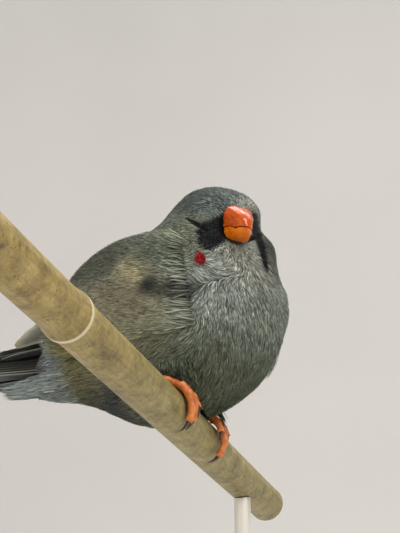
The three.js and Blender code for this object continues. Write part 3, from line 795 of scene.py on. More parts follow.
# wings
wingPlan = {
    "wrist": -16, "stagger": 6, "tip": 43, "thickness": 0.4,
    "leftLower": 8,  # degrees that the left wing's lowest feathers hang lower at the wrist
    # number, root and tip along the wing, degrees round the body at root and tip, half width, tip's lift
    "tiers": {
        "primaries": [8, [0.44, 0.38], [1.0, 0.8], [86, 67], [63, 50], [2.3, 2.6], [0.5, 1.2]],
        "secondaries": [8, [0.36, 0.32], [0.74, 0.68], [86, 54], [79, 49], [1.9, 2.2], [0.9, 1.3]],
        "tertials": [3, [0.33, 0.28], [0.8, 0.64], [52, 34], [47, 29], [2.5, 2.8], [1.4, 1.7]],
        "greater": [9, [0.2, 0.18], [0.48, 0.43], [92, 46], [86, 39], [1.9, 2.1], [1.3, 1.6]],
        "median": [8, [0.08, 0.06], [0.3, 0.26], [97, 54], [91, 48], [2.0, 2.1], [1.3, 1.5]],
    },
}
wingColours = {"dark": "#3d3f38", "middle": "#66675a", "edge": "#9a967e"}


def lowerEdge(side, part):
    wrist = 104 if side > 0 else 94
    return np.where(part < 0.75, mix(wrist, 80, part / 0.75), mix(80, 62, (part - 0.75) / 0.25))


def upperEdge(part):
    return 64 - 34 * np.sin(np.pi * np.minimum(part * 1.2 + 0.04, 1) ** 0.8) ** 0.7


def alongWing(side, part):
    return mix(wingPlan["wrist"] - side * wingPlan["stagger"], wingPlan["tip"], part)


vaneRows = np.array([0, 0.12, 0.26, 0.42, 0.56, 0.7, 0.8, 0.88, 0.94, 0.98, 1.0])
vaneColumns = np.array([-1, -0.66, -0.3, -0.07, 0, 0.07, 0.3, 0.66, 1])


def vaneOutline(part):
    grow = 0.6 + 0.4 * np.sin(np.pi / 2 * np.minimum(part / 0.6, 1))
    close = np.sqrt(np.maximum(1 - ((np.maximum(part, 0.6) - 0.6) / 0.4) ** 2, 0.0))
    return np.where(part < 0.6, grow, np.maximum(close, 0.1))


def vaneGrid(pointAt, half, length, thickness):
    # both faces of one feather: a cambered vane with its shaft raised down the middle
    part, across = np.meshgrid(vaneRows, vaneColumns, indexing="ij")
    part = part - (part > 0.97) * 0.02 * np.abs(across)
    sideways = across * half * vaneOutline(part)
    shaft = 0.14 * (np.abs(across) < 0.05) * (1 - 0.7 * part)
    lift = 0.16 * (1 - across ** 2) + 0.2 * across + shaft
    top = pointAt(part, sideways, lift)
    under = pointAt(part, sideways, lift - shaft - thickness * (1 - 0.6 * part))
    # across on the vane and along it, in millimetres
    chart = np.stack([sideways, part * length], -1)
    return top.reshape(-1, 3), under.reshape(-1, 3), chart.reshape(-1, 2), across.ravel(), part.ravel()


def vaneFaces():
    rows, columns = len(vaneRows), len(vaneColumns)
    layer = rows * columns
    faces = []
    for row in range(rows - 1):
        for column in range(columns - 1):
            a = row * columns + column
            b, c, d = a + 1, a + columns, a + columns + 1
            faces += [[a, b, d], [a, d, c]]
            faces += [[a + layer, d + layer, b + layer], [a + layer, c + layer, d + layer]]
    rim = list(range(columns - 1)) + [row * columns + columns - 1 for row in range(rows - 1)]
    rim += [(rows - 1) * columns + column for column in range(columns - 1, 0, -1)]
    rim += [row * columns for row in range(rows - 1, 0, -1)]
    for here, following in zip(rim, rim[1:] + rim[:1]):
        faces += [[here, here + layer, following + layer], [here, following + layer, following]]
    return np.array(faces)


def featherPiece(name, feathers, material, nodes):
    # joins feathers into one mesh with their colours, a chart of each vane and a patch each for the bake
    faces, points, triangles, tints, charts, patches = vaneFaces(), [], [], [], [], []
    cells = math.ceil(math.sqrt(len(feathers)))
    for order, (top, under, chart, across, part, tint) in enumerate(feathers):
        triangles.append(faces + len(points) * 2 * len(top))
        points.append(np.vstack([top, under]))
        # painted shade: each vane's under face a fifth darker than its top
        tints.append(np.vstack([tint, tint * 0.8]))
        charts.append(np.vstack([chart, chart]))
        cell = np.array([order % cells, order // cells], float)
        spot = np.stack([0.25 + 0.2 * across, 0.04 + 0.92 * part], 1)
        patches.append(np.vstack([cell + spot, cell + spot + [0.5, 0]]) / cells)
    piece = meshFromArrays(name, np.vstack(points), np.vstack(triangles))
    editMesh(piece, lambda: bpy.ops.mesh.normals_make_consistent(inside=False))
    paint(piece, "plumage", np.vstack(tints))
    mapCorners(piece, "vane", np.vstack(charts))
    mapCorners(piece, "OFBake", np.vstack(patches))
    return dress(piece, material, nodes)


def wingFeather(side, tier, part):
    root, tip, rootAround, tipAround, half, lifts = tier[1:]
    start = mix(*root, part) + draws.normal(0, 0.004)
    end = mix(*tip, part) + draws.normal(0, 0.008)
    lower = wingPlan["leftLower"] * (1 - part) if side > 0 else 0
    around0 = mix(*rootAround, part) + lower * (1 - start)
    around1 = mix(*tipAround, part) + lower * (1 - end) + draws.normal(0, 0.6)
    length = abs(alongWing(side, end) - alongWing(side, start))

    def pointAt(along, sideways, lift):
        place = alongWing(side, mix(start, end, along))
        around = mix(around0, around1, along)
        radius = np.linalg.norm(onBed(side, place, around, 0) - spineAt(place)[0], axis=-1)
        height = mix(-0.4, mix(*lifts, part), np.minimum(1, along * 1.5)) + lift
        return onBed(side, place, around - np.degrees(sideways / radius), height)

    top, under, chart, across, rows = vaneGrid(pointAt, mix(*half, part), length, wingPlan["thickness"])
    dark, middle, edge = (colour(wingColours[k]) for k in ("dark", "middle", "edge"))
    rim = smooth(0.6, 1.0, np.maximum(np.abs(across), rows ** 3))[:, None]
    tint = mix(dark, middle, smooth(-1, 0.6, across)[:, None])
    tint = mix(tint, edge, rim * 0.75) * draws.uniform(0.88, 1.12)
    return top, under, chart, across, rows, tint


def vaneMaterial(name, roughness):
    # flight feathers: barbs run slantwise off the shaft, drawn 0.45 mm apart so that they show
    material, tree = newMaterial(name)
    tone = addNode(tree, "Attribute", {"attribute_name": "plumage"})
    chart = addNode(tree, "UVMap", {"uv_map": "vane"})
    split = addNode(tree, "SeparateXYZ", None, {"Vector": chart})
    aside = addNode(tree, "Math", {"operation": "ABSOLUTE"}, {0: split.outputs["X"]})
    slant = addNode(tree, "Math", {"operation": "MULTIPLY_ADD"}, {
        0: aside, 1: -1.2, 2: split.outputs["Y"]})
    phase = addNode(tree, "Math", {"operation": "MULTIPLY"}, {0: slant, 1: 2 * math.pi / 0.45})
    ridge = addNode(tree, "Math", {"operation": "SINE"}, {0: phase})
    level = addNode(tree, "MapRange", None, {
        "Value": ridge, "From Min": -1.0, "To Min": 0.88, "To Max": 1.08})
    tinted = addNode(tree, "VectorMath", {"operation": "SCALE"}, {
        0: tone, "Scale": level})
    bump = addNode(tree, "Bump", None, {
        "Height": ridge, "Strength": 0.3, "Distance": 0.0001})
    shader = addNode(tree, "BsdfPrincipled", None, {
        "Base Color": tinted, "Roughness": roughness, "Specular IOR Level": 0.35,
        "Sheen Weight": 0.1, "Normal": bump})
    finishMaterial(tree, shader)
    return material


print("wings")
wingMaterial = vaneMaterial("finchFlightFeathers", 0.6)
for side, sideName in sides:
    feathers = []
    for tier in wingPlan["tiers"].values():
        for index in range(tier[0]):
            feathers.append(wingFeather(side, tier, index / (tier[0] - 1)))
    featherPiece("wing_feathers_" + sideName, feathers, wingMaterial, ["wing_" + sideName])


# small feathers over the wing's shoulder, its upper edge and its lower edge
shoulderPlan = {
    # per area: number, along the wing, degrees from the edge it follows, turn over its length, lifts, length
    "lesser": [10500, [0.01, 0.6], None, 0, [0.8, 2.6], 4.6],
    "scapular": [3200, [0.04, 0.62], ["upper", -10, 9], 4, [0.4, 2.4], 6.0],
    "flankOver": [7500, [0.02, 0.72], ["lower", -9, 24], -5, [0.1, 2.6], 6.5],
}


outerRings = 4  # steps along a shoulder feather or a covert of the tail


def shoulderTufts(side, rings):
    lines, faces, widths, roots = [], [], [], []
    for number, span, band, turn, lifts, length in shoulderPlan.values():
        part = draws.uniform(*span, int(number * share))
        # thin at the front, so that no edge shows
        part = part[draws.random(len(part)) < 0.15 + smooth(0, 0.13, part)]
        count = len(part)
        if band is None:
            s = draws.random(count)
            around = mix(lowerEdge(side, part) + 1, upperEdge(part) - 1, s)
        else:
            edge = lowerEdge(side, part) if band[0] == "lower" else upperEdge(part)
            around = edge + draws.uniform(band[1], band[2], count)
        start = alongWing(side, part)
        size = length * draws.uniform(0.75, 1.15, count)
        sway = draws.normal(turn, 2.2, count)
        floor = lifts[0] * np.clip((part - 0.01) / 0.12, 0, 1)
        top = mix(floor + 0.5, lifts[1], draws.uniform(0.55, 1, count))
        rows = []
        for ring in range(rings + 1):
            s = ring / rings
            rows.append(onBed(side, start + size * s, around + sway * s, mix(floor - 0.5, top, s ** 0.8)))
        line = np.stack(rows, 1)
        lines.append(line)
        faces.append(np.repeat(unit(line[:, 0] - spineAt(start)[0])[:, None], rings + 1, 1))
        widths.append(np.full(count, 0.44))
        roots.append(np.stack([0.02 + 0.95 * (part + 0.05) / 0.8, 0.02 + 0.95 * around / 130], 1))
    return np.vstack(lines), np.vstack(faces), np.concatenate(widths), np.vstack(roots)


print("shoulders")
for side, sideName in sides:
    rows, facing, wide, roots = shoulderTufts(side, outerRings)
    growPiece("coat_shoulder_" + sideName, rows, facing, wide, coatPlan["outerThick"],
              tuftColours(rows), np.clip(roots, 0.002, 0.998))


# tail
tailPlan = {
    "thickness": 0.5,
    # feathers a side, along Y at root and tip, sideways at root and tip, up at root and tip, half width
    "tiers": {
        "rectrices": [
            6, [34, 33], [74, 70], [[0.4, 2.6], [0.7, 4.8]], [[2.0, -2.4], [1.9, -1.9]], [2.9, 2.5]],
        "upperCoverts": [
            4, [31, 29], [57, 47], [[0.4, 3.8], [1.0, 5.2]], [[5.8, 4.3], [3.8, 2.0]], [2.3, 2.1]],
    },
}
tailColours = {"dark": "#191c1c", "middle": "#2b2f2e", "edge": "#7d8078"}


def tailFeather(side, tier, part):
    root, tip, aside, up, half = tier[1:]
    start, end = mix(*root, part), mix(*tip, part) + draws.normal(0, 0.3)
    aside0, aside1 = (mix(*pair, part) * side for pair in aside)
    up0, up1 = (mix(*pair, part) + (0.2 if side > 0 else 0) for pair in up)

    def pointAt(along, sideways, lift):
        return byTail(mix(start, end, along), mix(aside0, aside1, along) - sideways * side,
                      mix(up0, up1, along) + lift)

    top, under, chart, across, rows = vaneGrid(pointAt, mix(*half, part), end - start, tailPlan["thickness"])
    dark, middle, edge = (colour(tailColours[k]) for k in ("dark", "middle", "edge"))
    tint = mix(dark, middle, smooth(-1, 1, across)[:, None])
    outer = smooth(0.72, 0.98, -across)[:, None] * (0.9 if part > 0.7 else 0.25)
    tint = mix(tint, edge, np.maximum(outer, smooth(0.93, 1, rows)[:, None] * 0.3))
    return top, under, chart, across, rows, tint


print("tail")
tailMaterial = vaneMaterial("finchTailFeathers", 0.55)
feathers = []
for tier in tailPlan["tiers"].values():
    for index in range(tier[0] * 2):
        feathers.append(tailFeather(1 if index % 2 else -1, tier, (index // 2) / (tier[0] - 1)))
featherPiece("tail_feathers", feathers, tailMaterial, ["tail"])

# loose pale coverts under the tail, and short ones over its root
covertPlan = {
    # number, along Y, sideways, height at its first and last, length, width
    "under": [2200, [27, 40], [-6.5, 6.5], [-6.9, -6.3], 7.8, 0.8],
    "over": [1600, [27, 43], [-6, 6], [6.2, 4.6], 6.5, 0.8],
}


def covertTufts(plan, rings):
    number, span, aside, heights, length, wide = plan
    count = int(number * share)
    s = draws.random(count)
    start = mix(span[0], span[1], s)
    sideways = draws.uniform(*aside, count) * mix(1.15, 0.8, s)
    size = length * draws.uniform(0.7, 1.15, count)
    bulge = np.sqrt(np.maximum(1 - (sideways / 8.2) ** 2, 0.05))
    base = mix(heights[0], heights[1], s) * bulge
    away = draws.uniform(0.2, 1.2, count) * np.sign(heights[0])
    rows = []
    for ring in range(rings + 1):
        t = ring / rings
        rows.append(byTail(start + size * t, sideways * (1 - 0.12 * t) + draws.normal(0, 0.05, count),
                           base * (1 - 0.12 * t) + away * math.sin(2.4 * t)))
    line = np.stack(rows, 1)
    left, up = spineAt(start)[1:]
    facing = unit(up * np.sign(heights[0]) + left * (sideways / 8)[:, None])
    roots = np.stack([0.02 + 0.95 * s, 0.5 + sideways / 18], 1)
    return line, np.repeat(facing[:, None], rings + 1, 1), wide * draws.uniform(0.7, 1.1, count), roots


for name, plan in covertPlan.items():
    rows, facing, wide, roots = covertTufts(plan, outerRings)
    growPiece("coat_" + name + "_tail", rows, facing, wide, coatPlan["outerThick"], tuftColours(rows), roots)


# bill
def hornMaterial(name, deep, bright):
    # bill horn: waxy keratin, glossy where it is worn, redder in places
    material, tree = newMaterial(name)
    where = addNode(tree, "TexCoord").outputs["Object"]
    cloudy = addNode(tree, "TexNoise", None, {"Vector": where, "Scale": 330, "Detail": 4})
    tone = addNode(tree, "ValToRGB", {"stops": [(0.3, deep), (0.7, bright)]}, {
        "Fac": cloudy})
    grain = addNode(tree, "TexNoise", None, {
        "Vector": where, "Scale": 900, "Detail": 3, "Roughness": 0.6})
    wear = addNode(tree, "MapRange", None, {
        "Value": cloudy, "From Min": 0.35, "From Max": 0.65, "To Min": 0.11, "To Max": 0.2})
    bump = addNode(tree, "Bump", None, {
        "Height": grain, "Strength": 0.25, "Distance": 0.0002})
    shader = addNode(tree, "BsdfPrincipled", None, {
        "Base Color": tone, "Roughness": wear, "IOR": 1.5,
        "Specular IOR Level": 0.3, "Normal": bump})
    finishMaterial(tree, shader)
    return material


print("bill")
for part, deep, bright in (("upper", "#a83a00", "#be5200"), ("lower", "#c45a00", "#dc7806")):
    bill = copyOfNodes("bill_horn_" + part, ["bill_" + part])
    applyModifier(bill, "REMESH", {"mode": "VOXEL", "voxel_size": fineVoxel})
    applyModifier(bill, "SMOOTH", {"factor": 0.5, "iterations": 6})
    places = toHead(pointsOf(bill))
    # the lower half is blunter below than its solid and meets the upper one
    if part == "lower":
        under = np.clip((0.4 - places[:, 2]) / 4.3, 0, 1)
        places[:, 0] = 0.4 + (places[:, 0] - 0.4) * (1 + 0.3 * under ** 1.5)
        places[:, 2] += 0.22 * (1 - under) - 0.25 * np.minimum(under, 0.2)
    else:
        places[:, 0] = 0.4 + (places[:, 0] - 0.4) * (1 + 0.14 * np.clip((places[:, 2] - 0.4) / 5.8, 0, 1))
    movePoints(bill, headAt + places @ headTurn.T)
    # worn horn is creased across the gape, which runs unevenly
    height, ahead = places[:, 2] - 0.4, -places[:, 1]
    gape = np.exp(-(height / 1.9) ** 2) * (1 - smooth(14.5, 17, ahead))
    places[:, 2] += gape * (0.3 * np.sin(places[:, 0] * 1.7 + 0.8) + 0.16 * np.sin(places[:, 0] * 4.3))
    movePoints(bill, headAt + places @ headTurn.T)
    places = pointsOf(bill)
    crease = np.sin(height * 2 * math.pi / 1.2 + 2.6 * waver(places, 3.0, 11)) * 0.09 * gape
    crease = crease * smooth(0.1, 0.5, np.abs(height))
    uneven = waver(places, 2.2, 12) * (0.012 + 0.03 * gape)
    movePoints(bill, places + normalsOf(bill) * (uneven + crease)[:, None])
    bill.data.shade_smooth()
    dress(bill, hornMaterial("billHorn" + part.title(), deep, bright), ["bill_" + part])


# eyes
def eyeMaterial():
    # wet dark cornea
    material, tree = newMaterial("eyeCornea")
    where = addNode(tree, "TexCoord").outputs["Object"]
    cloudy = addNode(tree, "TexNoise", None, {"Vector": where, "Scale": 700, "Detail": 2})
    tone = addNode(tree, "ValToRGB", {"stops": [(0.35, "#060405"), (0.7, "#1c0d08")]}, {
        "Fac": cloudy})
    shader = addNode(tree, "BsdfPrincipled", None, {
        "Base Color": tone, "Roughness": 0.06, "IOR": 1.38, "Coat Weight": 0.5})
    finishMaterial(tree, shader)
    return material


cornea = eyeMaterial()
for sideName in ("right", "left"):
    eye = copyOfNodes("eye_ball_" + sideName, ["eye_" + sideName])
    applyModifier(eye, "SUBSURF", {"levels": 2, "render_levels": 2})
    eye.data.shade_smooth()
    dress(eye, cornea, ["eye_" + sideName])


# feet
footPlan = {
    "aside": 13, "toeRadius": 1.17, "gap": 0.3, "caneRadius": 5.2,
    "toes": [
        ([-16, -66, -98], [0, 0.6, 1.0]), ([14, 96, 124], [-2.75, -2.9, -3]),
        ([14, 132, 160], [0, 0, 0]), ([32, 102, 128], [1.8, 2.85, 3]),
    ],
    "reach": {-1: [1, 0.82, 0.88, 1.2], 1: [1, 0.86, 1.01, 0.76]},
    "drift": {-1: 3.2, 1: 0.4},
    "scute": 1.05,  # length of one scute in millimetres
    "bend": 6.7,  # from the cane's axis to a toe's middle line
}


def tubeAlong(name, rings, sides, pointAt):
    # a grid rolled into a closed tube, its ends drawn together
    deselectAll()
    bpy.ops.mesh.primitive_grid_add(x_subdivisions=rings, y_subdivisions=sides, size=2)
    piece = bpy.context.object
    piece.name = name
    flat = readAll(piece.data.vertices, "co")
    movePoints(piece, pointAt((flat[:, 0] + 1) / 2, (flat[:, 1] + 1) * math.pi))

    def close():
        bpy.ops.mesh.remove_doubles(threshold=1e-7)
        bpy.ops.mesh.normals_make_consistent(inside=False)

    editMesh(piece, close)
    return piece


def toePlace(side, order, start, end, s):
    angles, aside = footPlan["toes"][order]
    angle = mix(angles[start], angles[end], s) * footPlan["reach"][side][order]
    lean = footPlan["drift"][side] * np.abs(angle / angles[2]) ** 1.5 if angles[0] > 0 else 0 * s
    across = side * (footPlan["aside"] + mix(aside[start], aside[end], s)) + lean
    turn = np.radians(angle)
    outward = np.stack([0 * turn, -np.sin(turn), np.cos(turn)], -1)
    sink = 0.5 * s ** 2 if start == 1 else 0
    distance = footPlan["caneRadius"] + footPlan["gap"] + footPlan["toeRadius"] - sink
    centre = outward * np.asarray(distance).reshape(-1, 1)
    centre[:, 0] = across
    return centre, outward


def toeTube(name, side, order):
    angles = footPlan["toes"][order][0]
    length = math.radians(abs(angles[1] - angles[0])) * footPlan["bend"] * footPlan["reach"][side][order]

    def pointAt(s, turn):
        inner = np.clip((s - 0.03) / 0.94, 0, 1)
        centre, outward = toePlace(side, order, 0, 1, inner)
        plates = (inner * length / footPlan["scute"]) % 1
        onTop = np.clip(np.cos(turn), 0, 1)
        radius = footPlan["toeRadius"] * (1 - 0.22 * inner + 0.08 * np.cos(6 * np.pi * inner)) - 0.05
        radius = radius * (1 + 0.11 * onTop * (plates - 0.45))
        radius = radius * np.sqrt(np.clip(np.minimum(s, 1 - s) / 0.03, 0, 1))
        across = np.tile([1.0, 0, 0], (len(s), 1))
        return centre + (outward * np.cos(turn)[:, None] + across * np.sin(turn)[:, None]) * radius[:, None]

    return tubeAlong(name, 90, 16, pointAt)


def clawTube(name, side, order):
    def pointAt(s, turn):
        inner = np.clip((s - 0.04) / 0.96, 0, 1)
        centre, outward = toePlace(side, order, 1, 2, inner)
        radius = np.maximum(0.55 * (1 - inner) ** 0.8, 0.06) * np.sqrt(np.clip(s / 0.04, 0, 1))
        radius = np.where(s > 0.999, 0, radius)
        across = np.tile([0.82, 0, 0], (len(s), 1))
        return centre + (outward * np.cos(turn)[:, None] + across * np.sin(turn)[:, None]) * radius[:, None]

    return tubeAlong(name, 24, 14, pointAt)


def footMaterial():
    # scaly foot skin: warm orange, paler on the plates, with painted shade dark in the creases between them
    material, tree = newMaterial("footSkin")
    where = addNode(tree, "TexCoord").outputs["Object"]
    cloudy = addNode(tree, "TexNoise", None, {"Vector": where, "Scale": 500, "Detail": 3})
    tone = addNode(tree, "ValToRGB", {"stops": [(0.3, "#a8501c"), (0.7, "#e08a45")]}, {
        "Fac": cloudy})
    # painted shade: the colour darkened where the surface dips, in the creases
    dents = addNode(tree, "NewGeometry")
    crease = addNode(tree, "ValToRGB", {"stops": [(0.42, "#5a2c14"), (0.52, "#ffffff")]}, {
        "Fac": dents.outputs["Pointiness"]})
    creaseShadedTone = addNode(tree, "Mix", {"data_type": "RGBA", "blend_type": "MULTIPLY"}, {
        0: 0.7, 6: tone, 7: crease})
    grain = addNode(tree, "TexVoronoi", None, {"Vector": where, "Scale": 3200})
    bump = addNode(tree, "Bump", None, {
        "Height": grain, "Strength": 0.25, "Distance": 0.0001})
    shader = addNode(tree, "BsdfPrincipled", None, {
        "Base Color": creaseShadedTone.outputs[2], "Roughness": 0.42,
        "Subsurface Weight": 0.1, "Subsurface Scale": 0.0008,
        "Normal": bump})
    finishMaterial(tree, shader)
    return material


def clawMaterial():
    # claw keratin: dark smooth horn, browner in places
    material, tree = newMaterial("clawHorn")
    where = addNode(tree, "TexCoord").outputs["Object"]
    cloudy = addNode(tree, "TexNoise", None, {"Vector": where, "Scale": 600, "Detail": 2})
    tone = addNode(tree, "ValToRGB", {"stops": [(0.35, "#241a16"), (0.7, "#5a4032")]}, {
        "Fac": cloudy})
    shader = addNode(tree, "BsdfPrincipled", None, {
        "Base Color": tone, "Roughness": 0.3, "IOR": 1.54})
    finishMaterial(tree, shader)
    return material


def joinPieces(name, parts):
    deselectAll()
    for part in parts:
        part.select_set(True)
    bpy.context.view_layer.objects.active = parts[0]
    bpy.ops.object.join()
    parts[0].name = name
    return parts[0]


print("feet")
footSkin, clawHorn = footMaterial(), clawMaterial()
for side, sideName in sides:
    parts = [copyOfNodes("tarsus_" + sideName, ["leg_" + sideName])]
    parts += [toeTube(f"toe_{order}", side, order) for order in range(4)]
    foot = joinPieces("foot_" + sideName, parts)
    applyModifier(foot, "REMESH", {"mode": "VOXEL", "voxel_size": fineVoxel})
    applyModifier(foot, "SMOOTH", {"factor": 0.5, "iterations": 1})
    foot.data.shade_smooth()
    nodes = ["leg_" + sideName] + [f"toe_{sideName}_{order}" for order in range(1, 5)]
    dress(foot, footSkin, nodes)
    parts = [clawTube(f"claw_{order}", side, order) for order in range(4)]
    claws = joinPieces("claws_" + sideName, parts)
    claws.data.shade_smooth()
    dress(claws, clawHorn, [f"claw_{sideName}_{order}" for order in range(1, 5)])


# cane
canePlan = {
    "near": -116, "far": 80, "radius": 5.2, "ring": -72, "ringRadius": 5.9,
    "wall": 1.5, "hollow": 3.0, "steps": 240,
}


def canePlace(s, turn):
    # outside from the near end to the far one, each end hollowed a little as a cut culm is
    plan = canePlan
    near, far, wall = plan["near"], plan["far"], plan["radius"] - plan["wall"]
    # one cut end: how far in from it, and the radius there
    end = [(plan["hollow"], 0), (plan["hollow"], wall - 0.3), (plan["hollow"] - 0.4, wall), (0.3, wall),
           (0, wall + 0.3), (0, plan["radius"] - 0.4), (0.4, plan["radius"])]
    profile = [(near + x, radius) for x, radius in end]
    profile += [(x, None) for x in np.linspace(near + 0.8, far - 0.8, plan["steps"])]
    profile += [(far - x, radius) for x, radius in reversed(end)]
    index = np.clip(np.round(s * (len(profile) - 1)).astype(int), 0, len(profile) - 1)
    x = np.array([p[0] for p in profile])[index]
    off = x - plan["ring"]
    outer = plan["radius"] + 0.5 * np.exp(-(off / 2.6) ** 2) - 0.1
    outer = outer + np.where(off > 0, 0.18 * np.exp(-((off - 0.2) / 0.5) ** 2), 0)
    outer = outer - 0.3 * np.exp(-((off - 1.6) / 0.5) ** 2)
    radius = np.array([-1 if p[1] is None else p[1] for p in profile])[index]
    radius = np.where(radius < 0, np.minimum(outer, plan["ringRadius"]), radius)
    return np.stack([x, radius * np.cos(turn), radius * np.sin(turn)], -1)


def caneMaterial():
    # dried bamboo: tan, long fibres about 0.9 mm apart, mildewed specks and a bleached scar at the joint
    plan = canePlan
    material, tree = newMaterial("driedCane")
    where = addNode(tree, "TexCoord").outputs["Object"]
    drawn = addNode(tree, "Mapping", None, {"Vector": where, "Scale": (110, 1100, 1100)})
    fibre = addNode(tree, "TexNoise", None, {"Vector": drawn, "Scale": 1, "Detail": 4})
    blotch = addNode(tree, "TexNoise", None, {
        "Vector": where, "Scale": 210, "Detail": 8, "Roughness": 0.78})
    tone = addNode(tree, "ValToRGB", {
        "stops": [(0.34, "#5b4f2f"), (0.46, "#82754b"), (0.56, "#95875a"), (0.68, "#aa9d72")]}, {
        "Fac": blotch})
    threads = addNode(tree, "MapRange", None, {
        "Value": fibre, "From Min": 0.3, "From Max": 0.7, "To Min": 0.84, "To Max": 1.14})
    # golden towards the near end, greyer beyond the bird
    split = addNode(tree, "SeparateXYZ", None, {"Vector": where})
    faded = addNode(tree, "MapRange", None, {
        "Value": split.outputs["X"], "From Min": -0.085, "From Max": -0.02})
    cast = addNode(tree, "Mix", {"data_type": "RGBA"}, {
        0: faded, 6: (1.08, 0.99, 0.8, 1), 7: (0.88, 0.9, 0.82, 1)})
    aged = addNode(tree, "Mix", {"data_type": "RGBA", "blend_type": "MULTIPLY"}, {
        0: 1.0, 6: tone, 7: cast.outputs[2]})
    fibred = addNode(tree, "VectorMath", {"operation": "SCALE"}, {
        0: aged.outputs[2], "Scale": threads})
    specks = addNode(tree, "TexNoise", None, {
        "Vector": where, "Scale": 900, "Detail": 3, "Roughness": 0.7})
    spotted = addNode(tree, "MapRange", None, {
        "Value": specks, "From Min": 0.63, "From Max": 0.7})
    dotted = addNode(tree, "Mix", {"data_type": "RGBA"}, {
        0: spotted, 6: fibred, 7: hexColour("#54462a")})
    off = addNode(tree, "Math", {"operation": "SUBTRACT"}, {
        0: split.outputs["X"], 1: (plan["ring"] + 0.4) / 1000})
    away = addNode(tree, "Math", {"operation": "ABSOLUTE"}, {0: off})
    scar = addNode(tree, "MapRange", None, {
        "Value": away, "From Min": 0.0005, "From Max": 0.0009, "To Min": 0.85, "To Max": 0.0})
    scarred = addNode(tree, "Mix", {"data_type": "RGBA"}, {
        0: scar, 6: dotted.outputs[2], 7: hexColour("#d8c9a8")})
    bump = addNode(tree, "Bump", None, {
        "Height": fibre, "Strength": 0.5, "Distance": 0.0003})
    shader = addNode(tree, "BsdfPrincipled", None, {
        "Base Color": scarred.outputs[2], "Roughness": 0.5, "Specular IOR Level": 0.4,
        "Normal": bump})
    finishMaterial(tree, shader)
    return material


print("cane")
cane = tubeAlong("cane_perch", 253, 48, canePlace)
cane.data.shade_smooth()
makeActive(cane)
bpy.ops.object.shade_smooth_by_angle(angle=math.radians(40))
dress(cane, caneMaterial(), ["perch"])


# stand
def lacquerMaterial(name, code, roughness):
    # satin lacquer over board or steel, with the faint orange peel of a sprayed coat
    material, tree = newMaterial(name)
    where = addNode(tree, "TexCoord").outputs["Object"]
    peel = addNode(tree, "TexNoise", None, {"Vector": where, "Scale": 900, "Detail": 2})
    cloudy = addNode(tree, "TexNoise", None, {"Vector": where, "Scale": 25, "Detail": 3})
    level = addNode(tree, "MapRange", None, {
        "Value": cloudy, "From Min": 0.3, "From Max": 0.7, "To Min": 0.96, "To Max": 1.03})
    tone = addNode(tree, "VectorMath", {"operation": "SCALE"}, {
        0: hexColour(code)[:3], "Scale": level})
    bump = addNode(tree, "Bump", None, {"Height": peel, "Strength": 0.08, "Distance": 0.0002})
    shader = addNode(tree, "BsdfPrincipled", None, {
        "Base Color": tone, "Roughness": roughness, "Coat Weight": 0.2, "Coat Roughness": 0.25,
        "Normal": bump})
    finishMaterial(tree, shader)
    return material


print("stand")
lacquer = lacquerMaterial("paleSatinLacquer", "#cfcac2", 0.45)
for name in ("stand_base", "stand_rod"):
    piece = copyOfNodes(name.replace("stand", "display"), [name])
    makeActive(piece)
    bpy.ops.object.shade_smooth_by_angle(angle=math.radians(35))
    dress(piece, lacquer, [name])


# studio
def wallMaterial():
    # matt wall paint
    material, tree = newMaterial("mattWallPaint")
    where = addNode(tree, "TexCoord").outputs["Object"]
    cloudy = addNode(tree, "TexNoise", None, {"Vector": where, "Scale": 1.5, "Detail": 2})
    tone = addNode(tree, "ValToRGB", {"stops": [(0.3, "#d2cfcb"), (0.7, "#d8d5d1")]}, {
        "Fac": cloudy})
    shader = addNode(tree, "BsdfPrincipled", None, {
        "Base Color": tone, "Roughness": 0.95, "Specular IOR Level": 0.1})
    finishMaterial(tree, shader)
    return material


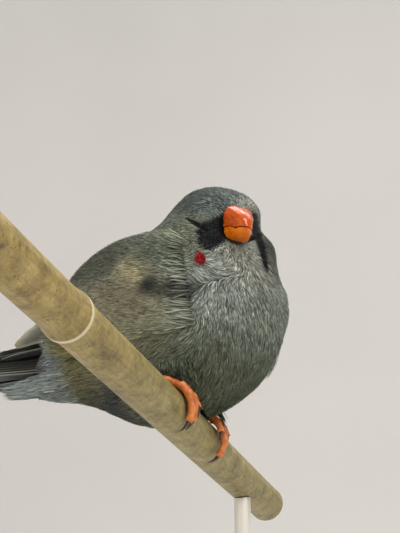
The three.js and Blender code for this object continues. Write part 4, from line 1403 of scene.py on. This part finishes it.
def studioPlace(s, turn):
    # a flat floor that sweeps up into a round wall
    profile = np.array([
        [0, 0], [0.6, 0], [1.4, 0], [1.9, 0.06], [2.25, 0.3], [2.4, 0.7], [2.45, 1.2], [2.45, 3.2]])
    place = s * (len(profile) - 1)
    radius = np.interp(place, range(len(profile)), profile[:, 0])
    height = np.interp(place, range(len(profile)), profile[:, 1])
    return fromFrame(np.stack([radius * np.cos(turn), radius * np.sin(turn), height], -1))


print("studio")
studio = tubeAlong("studio_sweep", 42, 64, studioPlace)
studio.data.shade_smooth()
studio.data.materials.append(wallMaterial())

world = bpy.data.worlds.new("studioLight")
bpy.context.scene.world = world
world.use_nodes = True
sky = world.node_tree.nodes["Background"]
sky.inputs["Color"].default_value = hexColour("#f1f3f5")
sky.inputs["Strength"].default_value = 0.9

lightPlan = {
    # place, what it faces, width, watts
    "key": [(-0.55, -0.75, 0.75), (0, 0, 0.13), 0.5, 9.0],
    "fill": [(-0.8, 0.5, 0.35), (0, 0, 0.13), 0.6, 2.5],
    "top": [(0.1, 0.1, 1.1), (0, 0, 0.13), 0.7, 6.0],
    "wallWash": [(0.6, -0.5, 1.6), (1.8, 0.6, 1.0), 1.0, 18.0],
}
for name, (place, aim, width, watts) in lightPlan.items():
    lamp = bpy.data.lights.new(name, "AREA")
    lamp.energy, lamp.size = watts, width
    lamp.color = (1.0, 0.985, 0.96)
    holder = bpy.data.objects.new(name, lamp)
    holder.location = place
    holder.rotation_euler = (Vector(aim) - Vector(place)).to_track_quat("-Z", "Y").to_euler()
    bpy.context.scene.collection.objects.link(holder)

cameraPlan = {"place": (-0.26885, -0.090155, 0.013565), "ahead": (0.8591, 0.2742, 0.4321), "pixels": 1200.0,
              "sensor": 36, "longSide": 533}  # the photo's frame is 400 by 533 pixels, its long side upright
eyeOf = bpy.data.cameras.new("photoView")
eyeOf.sensor_width = cameraPlan["sensor"]
eyeOf.lens = cameraPlan["pixels"] / cameraPlan["longSide"] * cameraPlan["sensor"]
eyeOf.clip_start, eyeOf.clip_end = 0.01, 20
camera = bpy.data.objects.new("photoView", eyeOf)
camera.location = cameraPlan["place"]
ahead = Vector(cameraPlan["ahead"]).normalized()
camera.rotation_euler = ahead.to_track_quat("-Z", "Y").to_euler()
bpy.context.scene.collection.objects.link(camera)
bpy.context.scene.camera = camera
bpy.context.scene.view_settings.view_transform = "Standard"

print("finishing")
